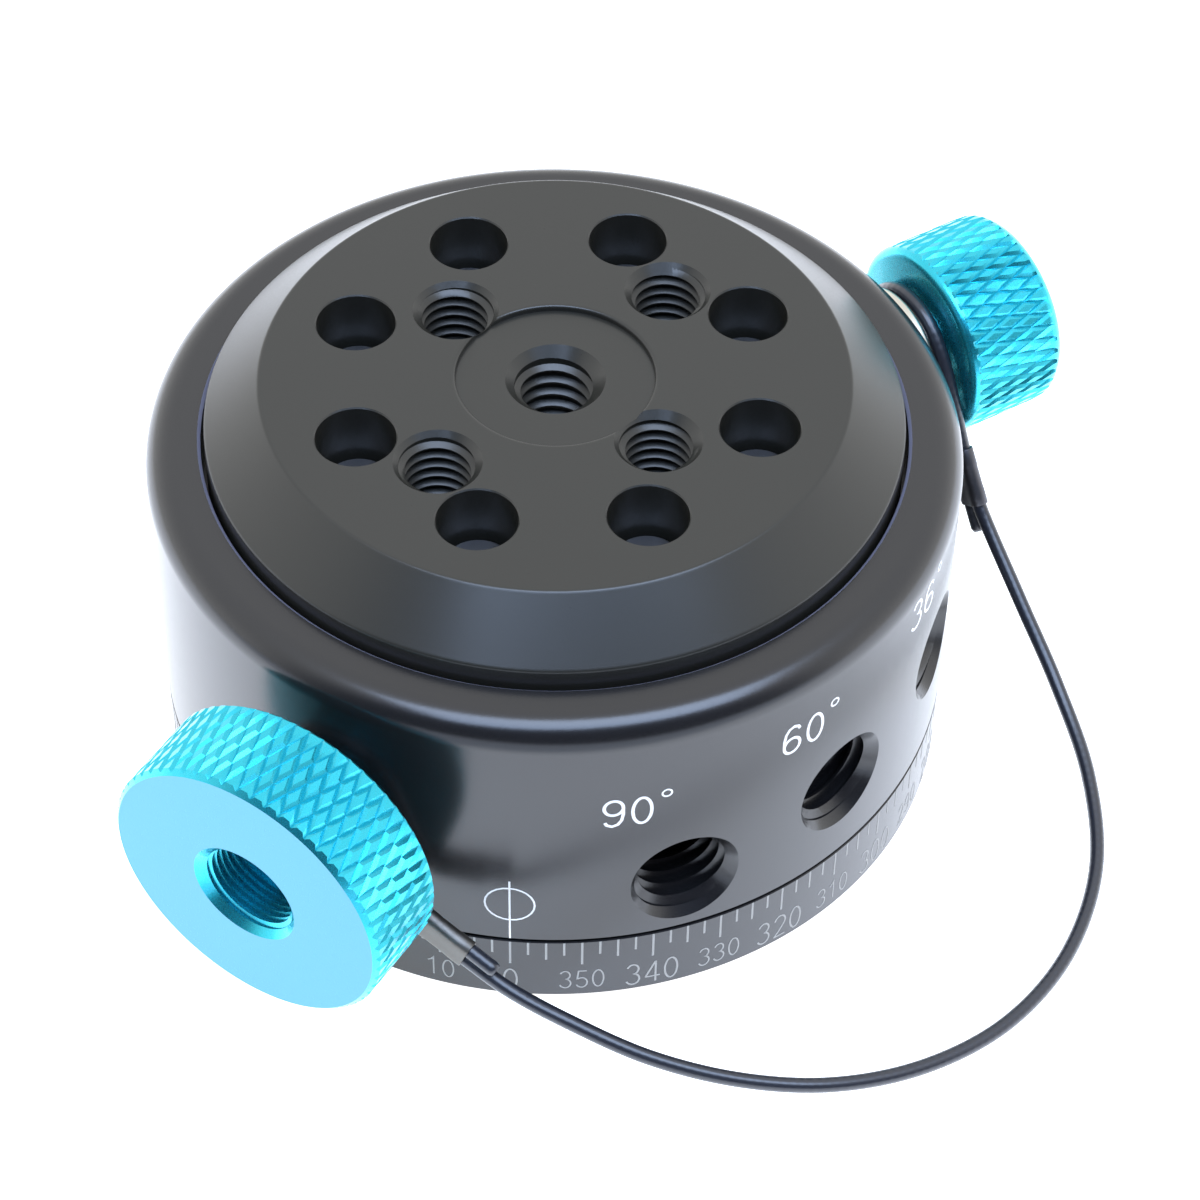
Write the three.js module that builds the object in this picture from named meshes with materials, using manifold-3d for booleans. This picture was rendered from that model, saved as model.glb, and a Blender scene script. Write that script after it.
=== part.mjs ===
// A panoramic tripod head: a scale base that screws to a tripod, and a housing that turns on it.
// A spring plunger in one of five side holes clicks into a row of dimples on the drum inside,
// so each hole gives its own stop angle, and a lock knob presses a brake shoe on the same drum.
// Lengths are in millimetres, +Z is up, and the origin is the centre of the base's underside.
import * as THREE from "three";
import { mergeVertices } from "three/addons/utils/BufferGeometryUtils.js";
import Module from "manifold-3d";

const wasm = await Module();
wasm.setup();

// Driving dimensions
const bodyRadius = 32;
const headHeight = 37.14;
const baseHeight = 7.25;
const housingWall = 6.7;
const runGap = 0.3; // between pieces that turn or slide past each other
const seatGap = 0.1; // between pieces that are fixed together
const overrun = 1; // how far a cutting shape runs past the face that it opens

// Fastener sizes
const screwRadius = 1.5;
const capHeadRadius = 2.75;
const capHeadHeight = 3;
const capKeyRadius = 1.45;
const capKeyDepth = 1.5;
const camThreadRadius = 3.175; // a quarter inch camera thread
const tripodThreadRadius = 4.7625; // a three eighths inch tripod thread
const plateThreadRadius = 3; // M6
const sideThreadRadius = 4; // M8
const threadChamfer = 0.4;

// How round the facets are
const bodySides = 40;
const ringSides = 24;
const boreSides = 12;
const screwSides = 10;
const hexSides = 6;
const filletSteps = 4;
const ballSides = 5;
const ballRings = 4;
const mergeDistance = 1e-4;

// Main faces of the housing and of the drum that it turns round
const plateRise = 5.29; // the plate's top above the housing's top
const plateSeatDepth = 3.95;
const webThickness = 2.15;
const drumGap = 0.5;
const housingBottom = baseHeight + runGap;
const housingTop = headHeight - plateRise;
const plateSeat = housingTop - plateSeatDepth;
const webBottom = plateSeat - webThickness;
const housingBore = bodyRadius - housingWall;
const drumRadius = housingBore - drumGap;
const drumBottom = baseHeight + seatGap;
const drumTop = webBottom - runGap;

const finishes = {
  anodised: { color: 0x3b3b40, roughness: 0.45, metalness: 0.8 },
  anodisedTop: { color: 0x46464a, roughness: 0.42, metalness: 0.8 },
  knobBlue: { color: 0x16a3cf, roughness: 0.3, metalness: 0.85 },
  steel: { color: 0xb9bbc0, roughness: 0.3, metalness: 1 },
  darkSteel: { color: 0x55575c, roughness: 0.4, metalness: 1 },
  blackSteel: { color: 0x1b1b1d, roughness: 0.5, metalness: 0.6 },
  paleSteel: { color: 0xd8d2c4, roughness: 0.3, metalness: 1 },
  brass: { color: 0xb08a48, roughness: 0.4, metalness: 1 },
  rubber: { color: 0x18181a, roughness: 0.9, metalness: 0 },
  cableBlack: { color: 0x0c0c0e, roughness: 0.2, metalness: 0 },
};

const head = new THREE.Group();

function degrees(angle) {
  return THREE.MathUtils.degToRad(angle);
}

// A closed geometry as a solid that can be joined and cut.
function solidOf(geometry) {
  const bare = geometry.index ? geometry.toNonIndexed() : geometry.clone();
  bare.deleteAttribute("normal");
  bare.deleteAttribute("uv");
  const merged = mergeVertices(bare, mergeDistance);
  return new wasm.Manifold(
    new wasm.Mesh({
      numProp: 3,
      vertProperties: merged.attributes.position.array,
      triVerts: new Uint32Array(merged.index.array),
    }),
  );
}

// The geometry of a joined or cut solid.
function geometryOf(solid) {
  const mesh = solid.getMesh();
  const geometry = new THREE.BufferGeometry();
  geometry.setAttribute("position", new THREE.BufferAttribute(mesh.vertProperties, mesh.numProp));
  geometry.setIndex(new THREE.BufferAttribute(mesh.triVerts, 1));
  geometry.computeVertexNormals();
  return geometry;
}

// A turned shape about +Z, from [radius, height] corners listed inside, below, outside, above.
function turned(corners, sides) {
  const loop = [...corners, corners[0]].map(([radius, height]) => new THREE.Vector2(radius, height));
  return new THREE.LatheGeometry(loop, sides).rotateX(Math.PI / 2);
}

// A turned shape without a bore: its first and last corners lie on the axis.
function turnedSolid(corners, sides) {
  const outline = corners.map(([radius, height]) => new THREE.Vector2(radius, height));
  return new THREE.LatheGeometry(outline, sides).rotateX(Math.PI / 2);
}

// A plain pin about +Z, to cut a hole with or to stand as a shank.
function pin(radius, bottom, top, sides) {
  const outline = [
    [0, bottom],
    [radius, bottom],
    [radius, top],
    [0, top],
  ];
  return turnedSolid(outline, sides);
}

// A cutting pin that widens to a chamfer at the face where the hole opens upwards.
function chamferedPin(radius, chamfer, bottom, face, sides) {
  const outline = [
    [0, bottom],
    [radius, bottom],
    [radius, face - chamfer],
    [radius + chamfer + overrun, face + overrun],
    [0, face + overrun],
  ];
  return turnedSolid(outline, sides);
}

// Turns a shape built about +Z so that it points outwards from the axis at an angle and a height.
function radial(geometry, angle, height) {
  return geometry.rotateY(Math.PI / 2).rotateZ(degrees(angle)).translate(0, 0, height);
}

function around(geometry, radius, angle) {
  return geometry.translate(radius, 0, 0).rotateZ(degrees(angle));
}

function cut(geometry, cutters) {
  const solid = cutters.reduce((rest, cutter) => rest.subtract(solidOf(cutter)), solidOf(geometry));
  return geometryOf(solid);
}

function joined(geometries) {
  return geometryOf(geometries.map(solidOf).reduce((all, one) => all.add(one)));
}

function add(name, geometry, finish, group = head) {
  const material = new THREE.MeshStandardMaterial({ ...finishes[finish], flatShading: true });
  const mesh = new THREE.Mesh(geometry, material);
  mesh.name = name;
  group.add(mesh);
  return mesh;
}

// A group whose +Z points outwards from the head's axis, for what a side hole carries.
function sideGroup(angle, height) {
  const group = new THREE.Group();
  group.position.z = height;
  group.rotation.set(0, Math.PI / 2, degrees(angle), "ZYX");
  head.add(group);
  return group;
}

// Side holes: each sits further round and higher than the one before
const firstHoleAngle = -116.04;
const holePitchAngle = 180 / 7;
const firstHoleRise = 5.65; // above the housing's underside
const lastHoleDrop = 8.25; // below the housing's top
const sideHoleChamfer = 0.5;
const stopAngles = [90, 60, 36, 24, 15];
const plungerHole = stopAngles.length - 1;
const firstHoleHeight = housingBottom + firstHoleRise;
const holeRise = (housingTop - lastHoleDrop - firstHoleHeight) / plungerHole;
const lockAngle = -166.4;
const lockHeightShare = 0.4712; // of the way up the housing
const lockHeight = housingBottom + lockHeightShare * (housingTop - housingBottom);
const sideHoles = stopAngles.map((stop, index) => ({
  stop,
  angle: firstHoleAngle + index * holePitchAngle,
  height: firstHoleHeight + index * holeRise,
}));

// Tripod bush: a threaded steel insert with a flange that lies on the base
const bushWall = 2.24;
const bushFlangeWidth = 2.3;
const bushFlangeThickness = 1.5;
const bushInset = 0.4;
const bushRadius = tripodThreadRadius + bushWall;
const bushFlangeRadius = bushRadius + bushFlangeWidth;
const bushFlangeBottom = baseHeight + seatGap;
const bushTop = bushFlangeBottom + bushFlangeThickness;

function tripodBush() {
  const corners = [
    [tripodThreadRadius, bushInset + threadChamfer],
    [tripodThreadRadius + threadChamfer, bushInset],
    [bushRadius, bushInset],
    [bushRadius, bushFlangeBottom],
    [bushFlangeRadius, bushFlangeBottom],
    [bushFlangeRadius, bushTop],
    [tripodThreadRadius, bushTop],
  ];
  return turned(corners, ringSides);
}

// Radii of hub and bearings, shared out between the hub's bore and the drum's face
const hubBoreGap = 0.6; // round the bush's flange
const hubWallShare = 0.1745; // of the room from bore to drum face, and the bearing's section too
const bearingSectionShare = 0.235;
const hubFlangeShare = 0.307; // of the drum's wall that the flange reaches over
const plateScrewEdge = 2.1; // from the screws' middles to the flange's edge
const hubBore = bushFlangeRadius + hubBoreGap;
const bearingBore = hubBore + hubWallShare * (drumRadius - hubBore);
const bearingSection = bearingSectionShare * (drumRadius - hubBore);
const bearingOuter = bearingBore + bearingSection;
const hubFlangeRadius = bearingOuter + hubFlangeShare * (drumRadius - bearingOuter);
const plateScrewCircle = hubFlangeRadius - plateScrewEdge;

// Heights inside: the clips and the washer first, then the bearings fill the room between them
const clipThickness = 0.9;
const washerThickness = 0.3;
const hubFlangeThickness = 1.95;
const bearingWidthShare = 0.35; // of the room for both bearings and their spacer
const hubFlangeTop = webBottom - seatGap;
const hubFlangeBottom = hubFlangeTop - hubFlangeThickness;
const drumShelf = hubFlangeBottom - runGap;
const drumGrooveTop = drumShelf - clipThickness;
const drumClipBottom = drumGrooveTop - seatGap - clipThickness;
const drumGrooveBottom = drumClipBottom - seatGap;
const washerBottom = drumGrooveBottom - washerThickness;
const upperBearingTop = washerBottom - seatGap;
const hubBottom = drumBottom + runGap;
const hubClipBottom = hubBottom + clipThickness;
const hubClipTop = hubClipBottom + clipThickness;
const lowerBearingBottom = hubClipTop + seatGap;
const bearingWidth = bearingWidthShare * (upperBearingTop - lowerBearingBottom);
const upperBearingBottom = upperBearingTop - bearingWidth;

// Base screws: countersunk, from below into the middle of the drum's wall
const baseScrewCount = 6;
const baseScrewCircle = (bearingOuter + drumRadius) / 2;
const baseScrewAngle = 30;
const sunkHeadRadius = 2.8;
const sunkHeadInset = 0.3;
const sunkHeadRim = 0.2;
const sunkKeyRadius = 1.05;
const baseScrewLength = 12;
const sunkHeadDepth = sunkHeadRadius - screwRadius;
const sunkHeadTop = sunkHeadInset + sunkHeadRim + sunkHeadDepth;
const baseScrewTip = sunkHeadInset + baseScrewLength;

function baseScrewHole() {
  const corners = [
    [0, -overrun],
    [sunkHeadRadius + seatGap, -overrun],
    [sunkHeadRadius + seatGap, sunkHeadInset + sunkHeadRim],
    [screwRadius + seatGap, sunkHeadTop + seatGap],
    [screwRadius + seatGap, baseScrewTip + seatGap],
    [0, baseScrewTip + seatGap],
  ];
  return turnedSolid(corners, screwSides);
}

function baseScrew() {
  const corners = [
    [0, sunkHeadInset],
    [sunkHeadRadius, sunkHeadInset],
    [sunkHeadRadius, sunkHeadInset + sunkHeadRim],
    [screwRadius, sunkHeadTop],
    [screwRadius, baseScrewTip],
    [0, baseScrewTip],
  ];
  const key = pin(sunkKeyRadius, -overrun, sunkHeadInset + sunkHeadDepth, hexSides);
  return cut(turnedSolid(corners, screwSides), [key]);
}

function baseScrewPlaces(make) {
  return Array.from({ length: baseScrewCount }, (_, index) =>
    around(make(), baseScrewCircle, baseScrewAngle + (index * 360) / baseScrewCount),
  );
}

// Scale base: the fixed disc, with a groove for the seal and the seats of bush and screws
const baseChamfer = 0.66;
const edgeBreak = 0.25;
const sealInset = 1.5;
const sealWidth = 1.4;
const sealGrooveDepth = 1;
const sealProud = 0.15;
const sealInner = housingBore + sealInset;
const sealOuter = sealInner + sealWidth;

function scaleBase() {
  const corners = [
    [bushRadius + seatGap, 0],
    [bodyRadius - baseChamfer, 0],
    [bodyRadius, baseChamfer],
    [bodyRadius, baseHeight - edgeBreak],
    [bodyRadius - edgeBreak, baseHeight],
    [sealOuter + seatGap, baseHeight],
    [sealOuter + seatGap, baseHeight - sealGrooveDepth],
    [sealInner - seatGap, baseHeight - sealGrooveDepth],
    [sealInner - seatGap, baseHeight],
    [bushRadius + seatGap, baseHeight],
  ];
  return cut(turned(corners, bodySides), baseScrewPlaces(baseScrewHole));
}

function dustSeal() {
  const bottom = baseHeight - sealGrooveDepth + seatGap;
  const top = baseHeight + sealProud;
  const corners = [
    [sealInner, bottom],
    [sealOuter, bottom],
    [sealOuter, top],
    [sealInner, top],
  ];
  return turned(corners, bodySides);
}

// Bearings: two thin ball bearings between the drum and the hub
const ballCount = 10;
const bearingShares = { ring: 0.186, hubClip: 0.486, drumClip: 0.314, shoulder: 0.4, lip: 0.2 };
const raceShares = { ball: 0.77, cage: 0.227 }; // of the space between the rings
const cageWidthShare = 0.55;
const bearingRing = bearingShares.ring * bearingSection;
const raceWidth = bearingSection - 2 * bearingRing;
const ballRadius = (raceShares.ball * raceWidth) / 2;
const cageThickness = raceShares.cage * raceWidth;
const cageWidth = cageWidthShare * bearingWidth;
const ballCircle = (bearingBore + bearingOuter) / 2;

function ring(inner, outer, bottom, top, sides = ringSides) {
  const corners = [
    [inner, bottom],
    [outer, bottom],
    [outer, top],
    [inner, top],
  ];
  return turned(corners, sides);
}

function ballCage(bottom) {
  const middle = bottom + bearingWidth / 2;
  const band = ring(
    ballCircle - cageThickness / 2,
    ballCircle + cageThickness / 2,
    middle - cageWidth / 2,
    middle + cageWidth / 2,
    2 * ballCount,
  );
  const balls = Array.from({ length: ballCount }, (_, index) => {
    const ball = new THREE.SphereGeometry(ballRadius, ballSides, ballRings).rotateX(Math.PI / 2);
    return around(ball.translate(0, 0, middle), ballCircle, (index * 360) / ballCount);
  });
  return joined([band, ...balls]);
}

// Ring clips and washer that hold the bearings
const clipGapAngle = 24;
const clipGrip = 0.7; // how deep a clip sits in its groove
const hubClipOuter = bearingBore + bearingShares.hubClip * bearingSection;
const drumClipInner = bearingOuter - bearingShares.drumClip * bearingSection;

// A flat ring with a gap, cut from sheet.
function ringClip(inner, outer, bottom) {
  const start = degrees(clipGapAngle / 2);
  const end = 2 * Math.PI - start;
  const outline = new THREE.Shape();
  outline.absarc(0, 0, outer, start, end, false);
  outline.absarc(0, 0, inner, end, start, true);
  outline.closePath();
  const options = { depth: clipThickness, bevelEnabled: false, curveSegments: ringSides / 2 };
  return new THREE.ExtrudeGeometry(outline, options).translate(0, 0, bottom);
}

// Detent drum: fixed on the base, with one row of dimples for each side hole
const dimpleRadius = 1.15;
const dimpleDepth = 0.7;
const dimpleSides = 5;
const drumBore = bearingOuter + seatGap;
const drumLip = bearingOuter - bearingShares.lip * bearingSection;

function dimple() {
  const corners = [
    [0, drumRadius - dimpleDepth],
    [dimpleRadius + overrun, drumRadius + (overrun * dimpleDepth) / dimpleRadius],
    [0, drumRadius + (overrun * dimpleDepth) / dimpleRadius],
  ];
  return turnedSolid(corners, dimpleSides);
}

function detentDrum() {
  const corners = [
    [drumLip, drumBottom],
    [drumRadius, drumBottom],
    [drumRadius, drumTop],
    [hubFlangeRadius + runGap, drumTop],
    [hubFlangeRadius + runGap, drumShelf],
    [drumBore, drumShelf],
    [drumBore, drumGrooveTop],
    [drumBore + clipGrip, drumGrooveTop],
    [drumBore + clipGrip, drumGrooveBottom],
    [drumBore, drumGrooveBottom],
    [drumBore, lowerBearingBottom - seatGap],
    [drumLip, lowerBearingBottom - seatGap],
  ];
  const dimples = sideHoles.flatMap(({ stop, angle, height }) =>
    Array.from({ length: 360 / stop }, (_, index) => radial(dimple(), angle + index * stop, height)),
  );
  return cut(turned(corners, bodySides), [...baseScrewPlaces(baseScrewHole), ...dimples]);
}

// Housing: the turning shell over the drum, with the side holes and the lock's hole
const housingFillet = 2.34;
const plateRim = 4.4;
const plateSeatChamfer = 0.25;
const lockThreadRadius = 3; // M6
const plateSeatRadius = bodyRadius - plateRim;

// Hub: turns in the bearings and carries the housing and the plate on its flange
const hubShoulderRadius = bearingBore + bearingShares.shoulder * bearingSection;
const hubRadius = bearingBore - seatGap;

// Plate screws: cap screws through plate and web into the hub's flange
const plateScrewCount = 8;
const plateScrewAngle = -19.7;
const plateScrewInset = 4.9; // from the plate's top to the heads' tops
const plateScrewLength = 5;
const counterboreRadius = 3.1;
const plateHoleRadius = 1.7;
const headTop = headHeight - plateScrewInset;
const headSeat = headTop - capHeadHeight;
const plateScrewTip = headSeat - plateScrewLength;

function plateScrewPlaces(make) {
  return Array.from({ length: plateScrewCount }, (_, index) =>
    around(make(), plateScrewCircle, plateScrewAngle + (index * 360) / plateScrewCount),
  );
}

function bearingHub() {
  const grooveRadius = hubRadius - clipGrip;
  const corners = [
    [hubBore, hubBottom],
    [hubRadius, hubBottom],
    [hubRadius, hubClipBottom - seatGap],
    [grooveRadius, hubClipBottom - seatGap],
    [grooveRadius, hubClipTop + seatGap],
    [hubRadius, hubClipTop + seatGap],
    [hubRadius, washerBottom],
    [hubShoulderRadius, washerBottom],
    [hubShoulderRadius, hubFlangeBottom],
    [hubFlangeRadius, hubFlangeBottom],
    [hubFlangeRadius, hubFlangeTop],
    [hubBore, hubFlangeTop],
  ];
  const hole = () => pin(screwRadius + seatGap, hubFlangeBottom - overrun, headSeat, screwSides);
  return cut(turned(corners, ringSides), plateScrewPlaces(hole));
}

function housing() {
  const fillet = Array.from({ length: filletSteps + 1 }, (_, index) => {
    const turn = (index * Math.PI) / 2 / filletSteps;
    return [
      bodyRadius - housingFillet * (1 - Math.cos(turn)),
      housingTop - housingFillet * (1 - Math.sin(turn)),
    ];
  });
  const corners = [
    [hubBore, webBottom],
    [housingBore, webBottom],
    [housingBore, housingBottom],
    [bodyRadius - edgeBreak, housingBottom],
    [bodyRadius, housingBottom + edgeBreak],
    ...fillet,
    [plateSeatRadius + plateSeatChamfer, housingTop],
    [plateSeatRadius, housingTop - plateSeatChamfer],
    [plateSeatRadius, plateSeat],
    [hubBore, plateSeat],
  ];
  const inside = housingBore - overrun;
  const face = bodyRadius;
  const threads = sideHoles.map(({ angle, height }) =>
    radial(chamferedPin(sideThreadRadius, sideHoleChamfer, inside, face, boreSides), angle, height),
  );
  const lockHole = radial(
    pin(lockThreadRadius + 2 * seatGap, inside, bodyRadius + overrun, boreSides),
    lockAngle,
    lockHeight,
  );
  const screwHole = () => pin(plateHoleRadius, webBottom - overrun, plateSeat + overrun, screwSides);
  return cut(turned(corners, bodySides), [...threads, lockHole, ...plateScrewPlaces(screwHole)]);
}

// Top plate: bevelled disc in the housing's seat, with its screw holes and four side threads
const plateGap = 0.32;
const plateBevelWidth = 4.44;
const plateBevelHeight = 3.94;
const recessRadius = 7.7;
const recessDepth = 0.5;
const wideThreadInset = 3.6; // from the screws' circle to the wide pair of threads
const closeThreadInset = 5.95;
const plateBottom = plateSeat + seatGap;
const plateRadius = plateSeatRadius - plateGap;
const plateFaceRadius = plateRadius - plateBevelWidth;
const plateBevelBottom = headHeight - plateBevelHeight;
const plateThreads = [
  { circle: plateScrewCircle - wideThreadInset, angle: 2.9 },
  { circle: plateScrewCircle - closeThreadInset, angle: 92.8 },
];

function topPlate() {
  const recessFloor = headHeight - recessDepth;
  const corners = [
    [camThreadRadius, plateBottom],
    [plateRadius, plateBottom],
    [plateRadius, plateBevelBottom],
    [plateFaceRadius, headHeight],
    [recessRadius, headHeight],
    [recessRadius, recessFloor],
    [camThreadRadius + threadChamfer, recessFloor],
    [camThreadRadius, recessFloor - threadChamfer],
  ];
  const counterbore = () => pin(counterboreRadius, headSeat - seatGap, headHeight + overrun, boreSides);
  const clearance = () => pin(plateHoleRadius, plateBottom - overrun, headHeight, screwSides);
  const threadHole = () =>
    chamferedPin(plateThreadRadius, threadChamfer, plateBottom - overrun, headHeight, boreSides);
  const threads = plateThreads.flatMap(({ circle, angle }) => [
    around(threadHole(), circle, angle),
    around(threadHole(), circle, angle + 180),
  ]);
  const holes = [...plateScrewPlaces(counterbore), ...plateScrewPlaces(clearance), ...threads];
  return cut(turned(corners, bodySides), holes);
}

function capScrew() {
  const corners = [
    [0, plateScrewTip],
    [screwRadius, plateScrewTip],
    [screwRadius, headSeat],
    [capHeadRadius, headSeat],
    [capHeadRadius, headTop],
    [0, headTop],
  ];
  const key = pin(capKeyRadius, headTop - capKeyDepth, headTop + overrun, hexSides);
  return cut(turnedSolid(corners, screwSides), [key]);
}

// Lock: a knob on a stud that presses a brake shoe on the drum; lengths run outwards from the axis
const lockKnobRadius = 11.84;
const lockKnobLength = 7.72;
const lockKnobStandoff = 3.34; // from the housing to the knob's back
const lockKnobChamfer = 0.64;
const knobNeckRadius = 4.2;
const lockSocketDepth = 5;
const socketFloorWall = 1.06; // between the socket and the stud
const shoeThickness = 1.6;
const lockKnobInner = bodyRadius + lockKnobStandoff;
const lockKnobOuter = lockKnobInner + lockKnobLength;
const lockStudOuter = lockKnobOuter - lockSocketDepth - socketFloorWall;
const shoeInner = drumRadius + runGap;
const shoeOuter = shoeInner + shoeThickness;
const lockNeckInner = bodyRadius + runGap;

function lockKnob() {
  const corners = [
    [0, lockNeckInner],
    [knobNeckRadius, lockNeckInner],
    [knobNeckRadius, lockKnobInner],
    [lockKnobRadius - lockKnobChamfer, lockKnobInner],
    [lockKnobRadius, lockKnobInner + lockKnobChamfer],
    [lockKnobRadius, lockKnobOuter - lockKnobChamfer],
    [lockKnobRadius - lockKnobChamfer, lockKnobOuter],
    [0, lockKnobOuter],
  ];
  const socketFloor = lockKnobOuter - lockSocketDepth;
  const socket = chamferedPin(sideThreadRadius, sideHoleChamfer, socketFloor, lockKnobOuter, boreSides);
  const studEnd = lockStudOuter + seatGap;
  const studHole = pin(lockThreadRadius + seatGap, lockNeckInner - overrun, studEnd, boreSides);
  return cut(turnedSolid(corners, ringSides), [socket, studHole]);
}

// Plunger: a sleeve in the last side hole, with a sprung pin and its pull knob
const sleeveInset = 0.5; // from the housing's bore to the sleeve's inner end
const sleeveFlangeRadius = 5.6;
const sleeveFlangeThickness = 1.3;
const sleeveNeckLength = 1.55;
const sleeveLip = 0.75;
const pinRadius = 1.6;
const pinHeadRadius = 2.6;
const pinHeadLength = 1.9;
const pinNose = 0.9;
const chamberRadius = pinHeadRadius + seatGap;
const springWire = 0.2;
const springTurns = 5;
const springSides = 6;
const springStepsPerTurn = 8;
const plungerKnobRadius = 8.25;
const plungerKnobLength = 9.27;
const plungerKnobGap = 0.25;
const plungerKnobRound = 0.8;
const pinGrip = 5.3; // how deep the pin sits in its knob
const grubRadius = 1.4;
const grubLength = 4;
const grubInset = 3.8; // from the knob's back to the grub screw
const sleeveInner = housingBore + sleeveInset;
const sleeveFlangeOuter = bodyRadius + seatGap + sleeveFlangeThickness;
const sleeveOuter = sleeveFlangeOuter + sleeveNeckLength;
const plungerKnobInner = sleeveOuter + plungerKnobGap;
const plungerKnobOuter = plungerKnobInner + plungerKnobLength;
const pinOuter = plungerKnobInner + pinGrip;
const grubPlace = plungerKnobInner + grubInset;
const pinInner = drumRadius + runGap;
const pinHeadOuter = pinInner + pinHeadLength;
const sleeveLipInner = sleeveOuter - sleeveLip;

function plungerSleeve() {
  const corners = [
    [chamberRadius, sleeveInner],
    [sideThreadRadius - seatGap, sleeveInner],
    [sideThreadRadius - seatGap, bodyRadius + seatGap],
    [sleeveFlangeRadius, bodyRadius + seatGap],
    [sleeveFlangeRadius, sleeveFlangeOuter],
    [knobNeckRadius, sleeveFlangeOuter],
    [knobNeckRadius, sleeveOuter],
    [pinRadius + seatGap, sleeveOuter],
    [pinRadius + seatGap, sleeveLipInner],
    [chamberRadius, sleeveLipInner],
  ];
  return turned(corners, boreSides);
}

function plungerPin() {
  const corners = [
    [0, pinInner],
    [pinHeadRadius - pinNose, pinInner],
    [pinHeadRadius, pinInner + pinNose],
    [pinHeadRadius, pinHeadOuter],
    [pinRadius, pinHeadOuter],
    [pinRadius, pinOuter],
    [0, pinOuter],
  ];
  return turnedSolid(corners, boreSides);
}

// The spring's helix runs from the pin's head to the sleeve's lip.
function plungerSpring() {
  const from = pinHeadOuter + springWire + seatGap;
  const to = sleeveLipInner - springWire - seatGap;
  const coilRadius = (pinRadius + chamberRadius) / 2;
  const steps = springStepsPerTurn * springTurns;
  const points = Array.from({ length: steps + 1 }, (_, index) => {
    const turn = (2 * Math.PI * springTurns * index) / steps;
    const along = from + ((to - from) * index) / steps;
    return new THREE.Vector3(coilRadius * Math.cos(turn), coilRadius * Math.sin(turn), along);
  });
  const section = new THREE.Shape();
  section.absarc(0, 0, springWire, 0, 2 * Math.PI, false);
  const options = {
    steps,
    curveSegments: springSides / 2,
    bevelEnabled: false,
    extrudePath: new THREE.CatmullRomCurve3(points),
  };
  return new THREE.ExtrudeGeometry(section, options);
}

function plungerKnob() {
  const rounded = plungerKnobRadius - plungerKnobRound;
  const corners = [
    [0, plungerKnobInner],
    [rounded, plungerKnobInner],
    [plungerKnobRadius, plungerKnobInner + plungerKnobRound],
    [plungerKnobRadius, plungerKnobOuter - plungerKnobRound],
    [rounded, plungerKnobOuter],
    [0, plungerKnobOuter],
  ];
  const bore = pin(pinRadius + seatGap, plungerKnobInner - overrun, pinOuter + seatGap, boreSides);
  const grubHole = pin(grubRadius + seatGap, 0, plungerKnobRadius + overrun, screwSides)
    .rotateY(Math.PI / 2)
    .translate(0, 0, grubPlace);
  return cut(turnedSolid(corners, ringSides), [bore, grubHole]);
}

function grubScrew() {
  const inner = pinRadius + seatGap;
  const key = pin(grubRadius / 2, inner + grubLength / 2, inner + grubLength + overrun, hexSides);
  const screw = cut(pin(grubRadius, inner, inner + grubLength, screwSides), [key]);
  return screw.rotateY(Math.PI / 2).translate(0, 0, grubPlace);
}

// Tether: one coated steel cable, looped round the knobs' necks and crimped in two ferrules
const cableRadius = 0.6;
const cableSides = 8;
const cableStep = 2.5;
const loopRadius = 5.1;
const strandOffset = 0.8; // from the ferrule's middle to each strand's
const tailLength = 2.3;
const tailBend = 3.8; // where the tail strand turns into its ferrule
const ferruleLength = 5.6;
const ferruleWall = 0.35;
const lockLoopPlane = (lockNeckInner - runGap + lockKnobInner) / 2;
const plungerLoopPlane = (sleeveFlangeOuter + plungerKnobInner) / 2;
const lockLoop = {
  angle: lockAngle,
  height: lockHeight,
  plane: lockLoopPlane,
  tilt: -20.8, // the ferrule's slope in its plane
  start: 10.5, // from the neck's middle to the ferrule, along the ferrule
  aside: 3.1, // how far the ferrule's line passes beside the neck's middle
};
const plungerLoop = {
  angle: sideHoles[plungerHole].angle,
  height: sideHoles[plungerHole].height,
  plane: plungerLoopPlane,
  tilt: -124.8,
  start: 8.7,
  aside: 3.8,
};
// The free stretch between the ferrules: down from the lock, over the table, up to the plunger.
const cableRoute = [
  [-28.6, -24.4, 8.6],
  [-27, -29, 7.6],
  [-24, -35, 5.9],
  [-19.5, -40.5, 4.1],
  [-14, -45, 2.7],
  [-7, -48.2, 1.5],
  [1, -49.6, 0.8],
  [9.5, -48.5, 0.7],
  [17.5, -44.7, 1.4],
  [23.2, -38.8, 3.2],
  [26.8, -32, 6],
  [28.8, -25.8, 9.9],
];

// A point of a loop's plane, in the head's frame: along and across the ferrule's direction.
function loopPoint(loop, along, across) {
  const point = new THREE.Vector3(along, across, 0).applyAxisAngle(
    new THREE.Vector3(0, 0, 1),
    degrees(loop.tilt),
  );
  return new THREE.Vector3(loop.plane, point.x, point.y)
    .applyAxisAngle(new THREE.Vector3(0, 0, 1), degrees(loop.angle))
    .add(new THREE.Vector3(0, 0, loop.height));
}

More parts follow.
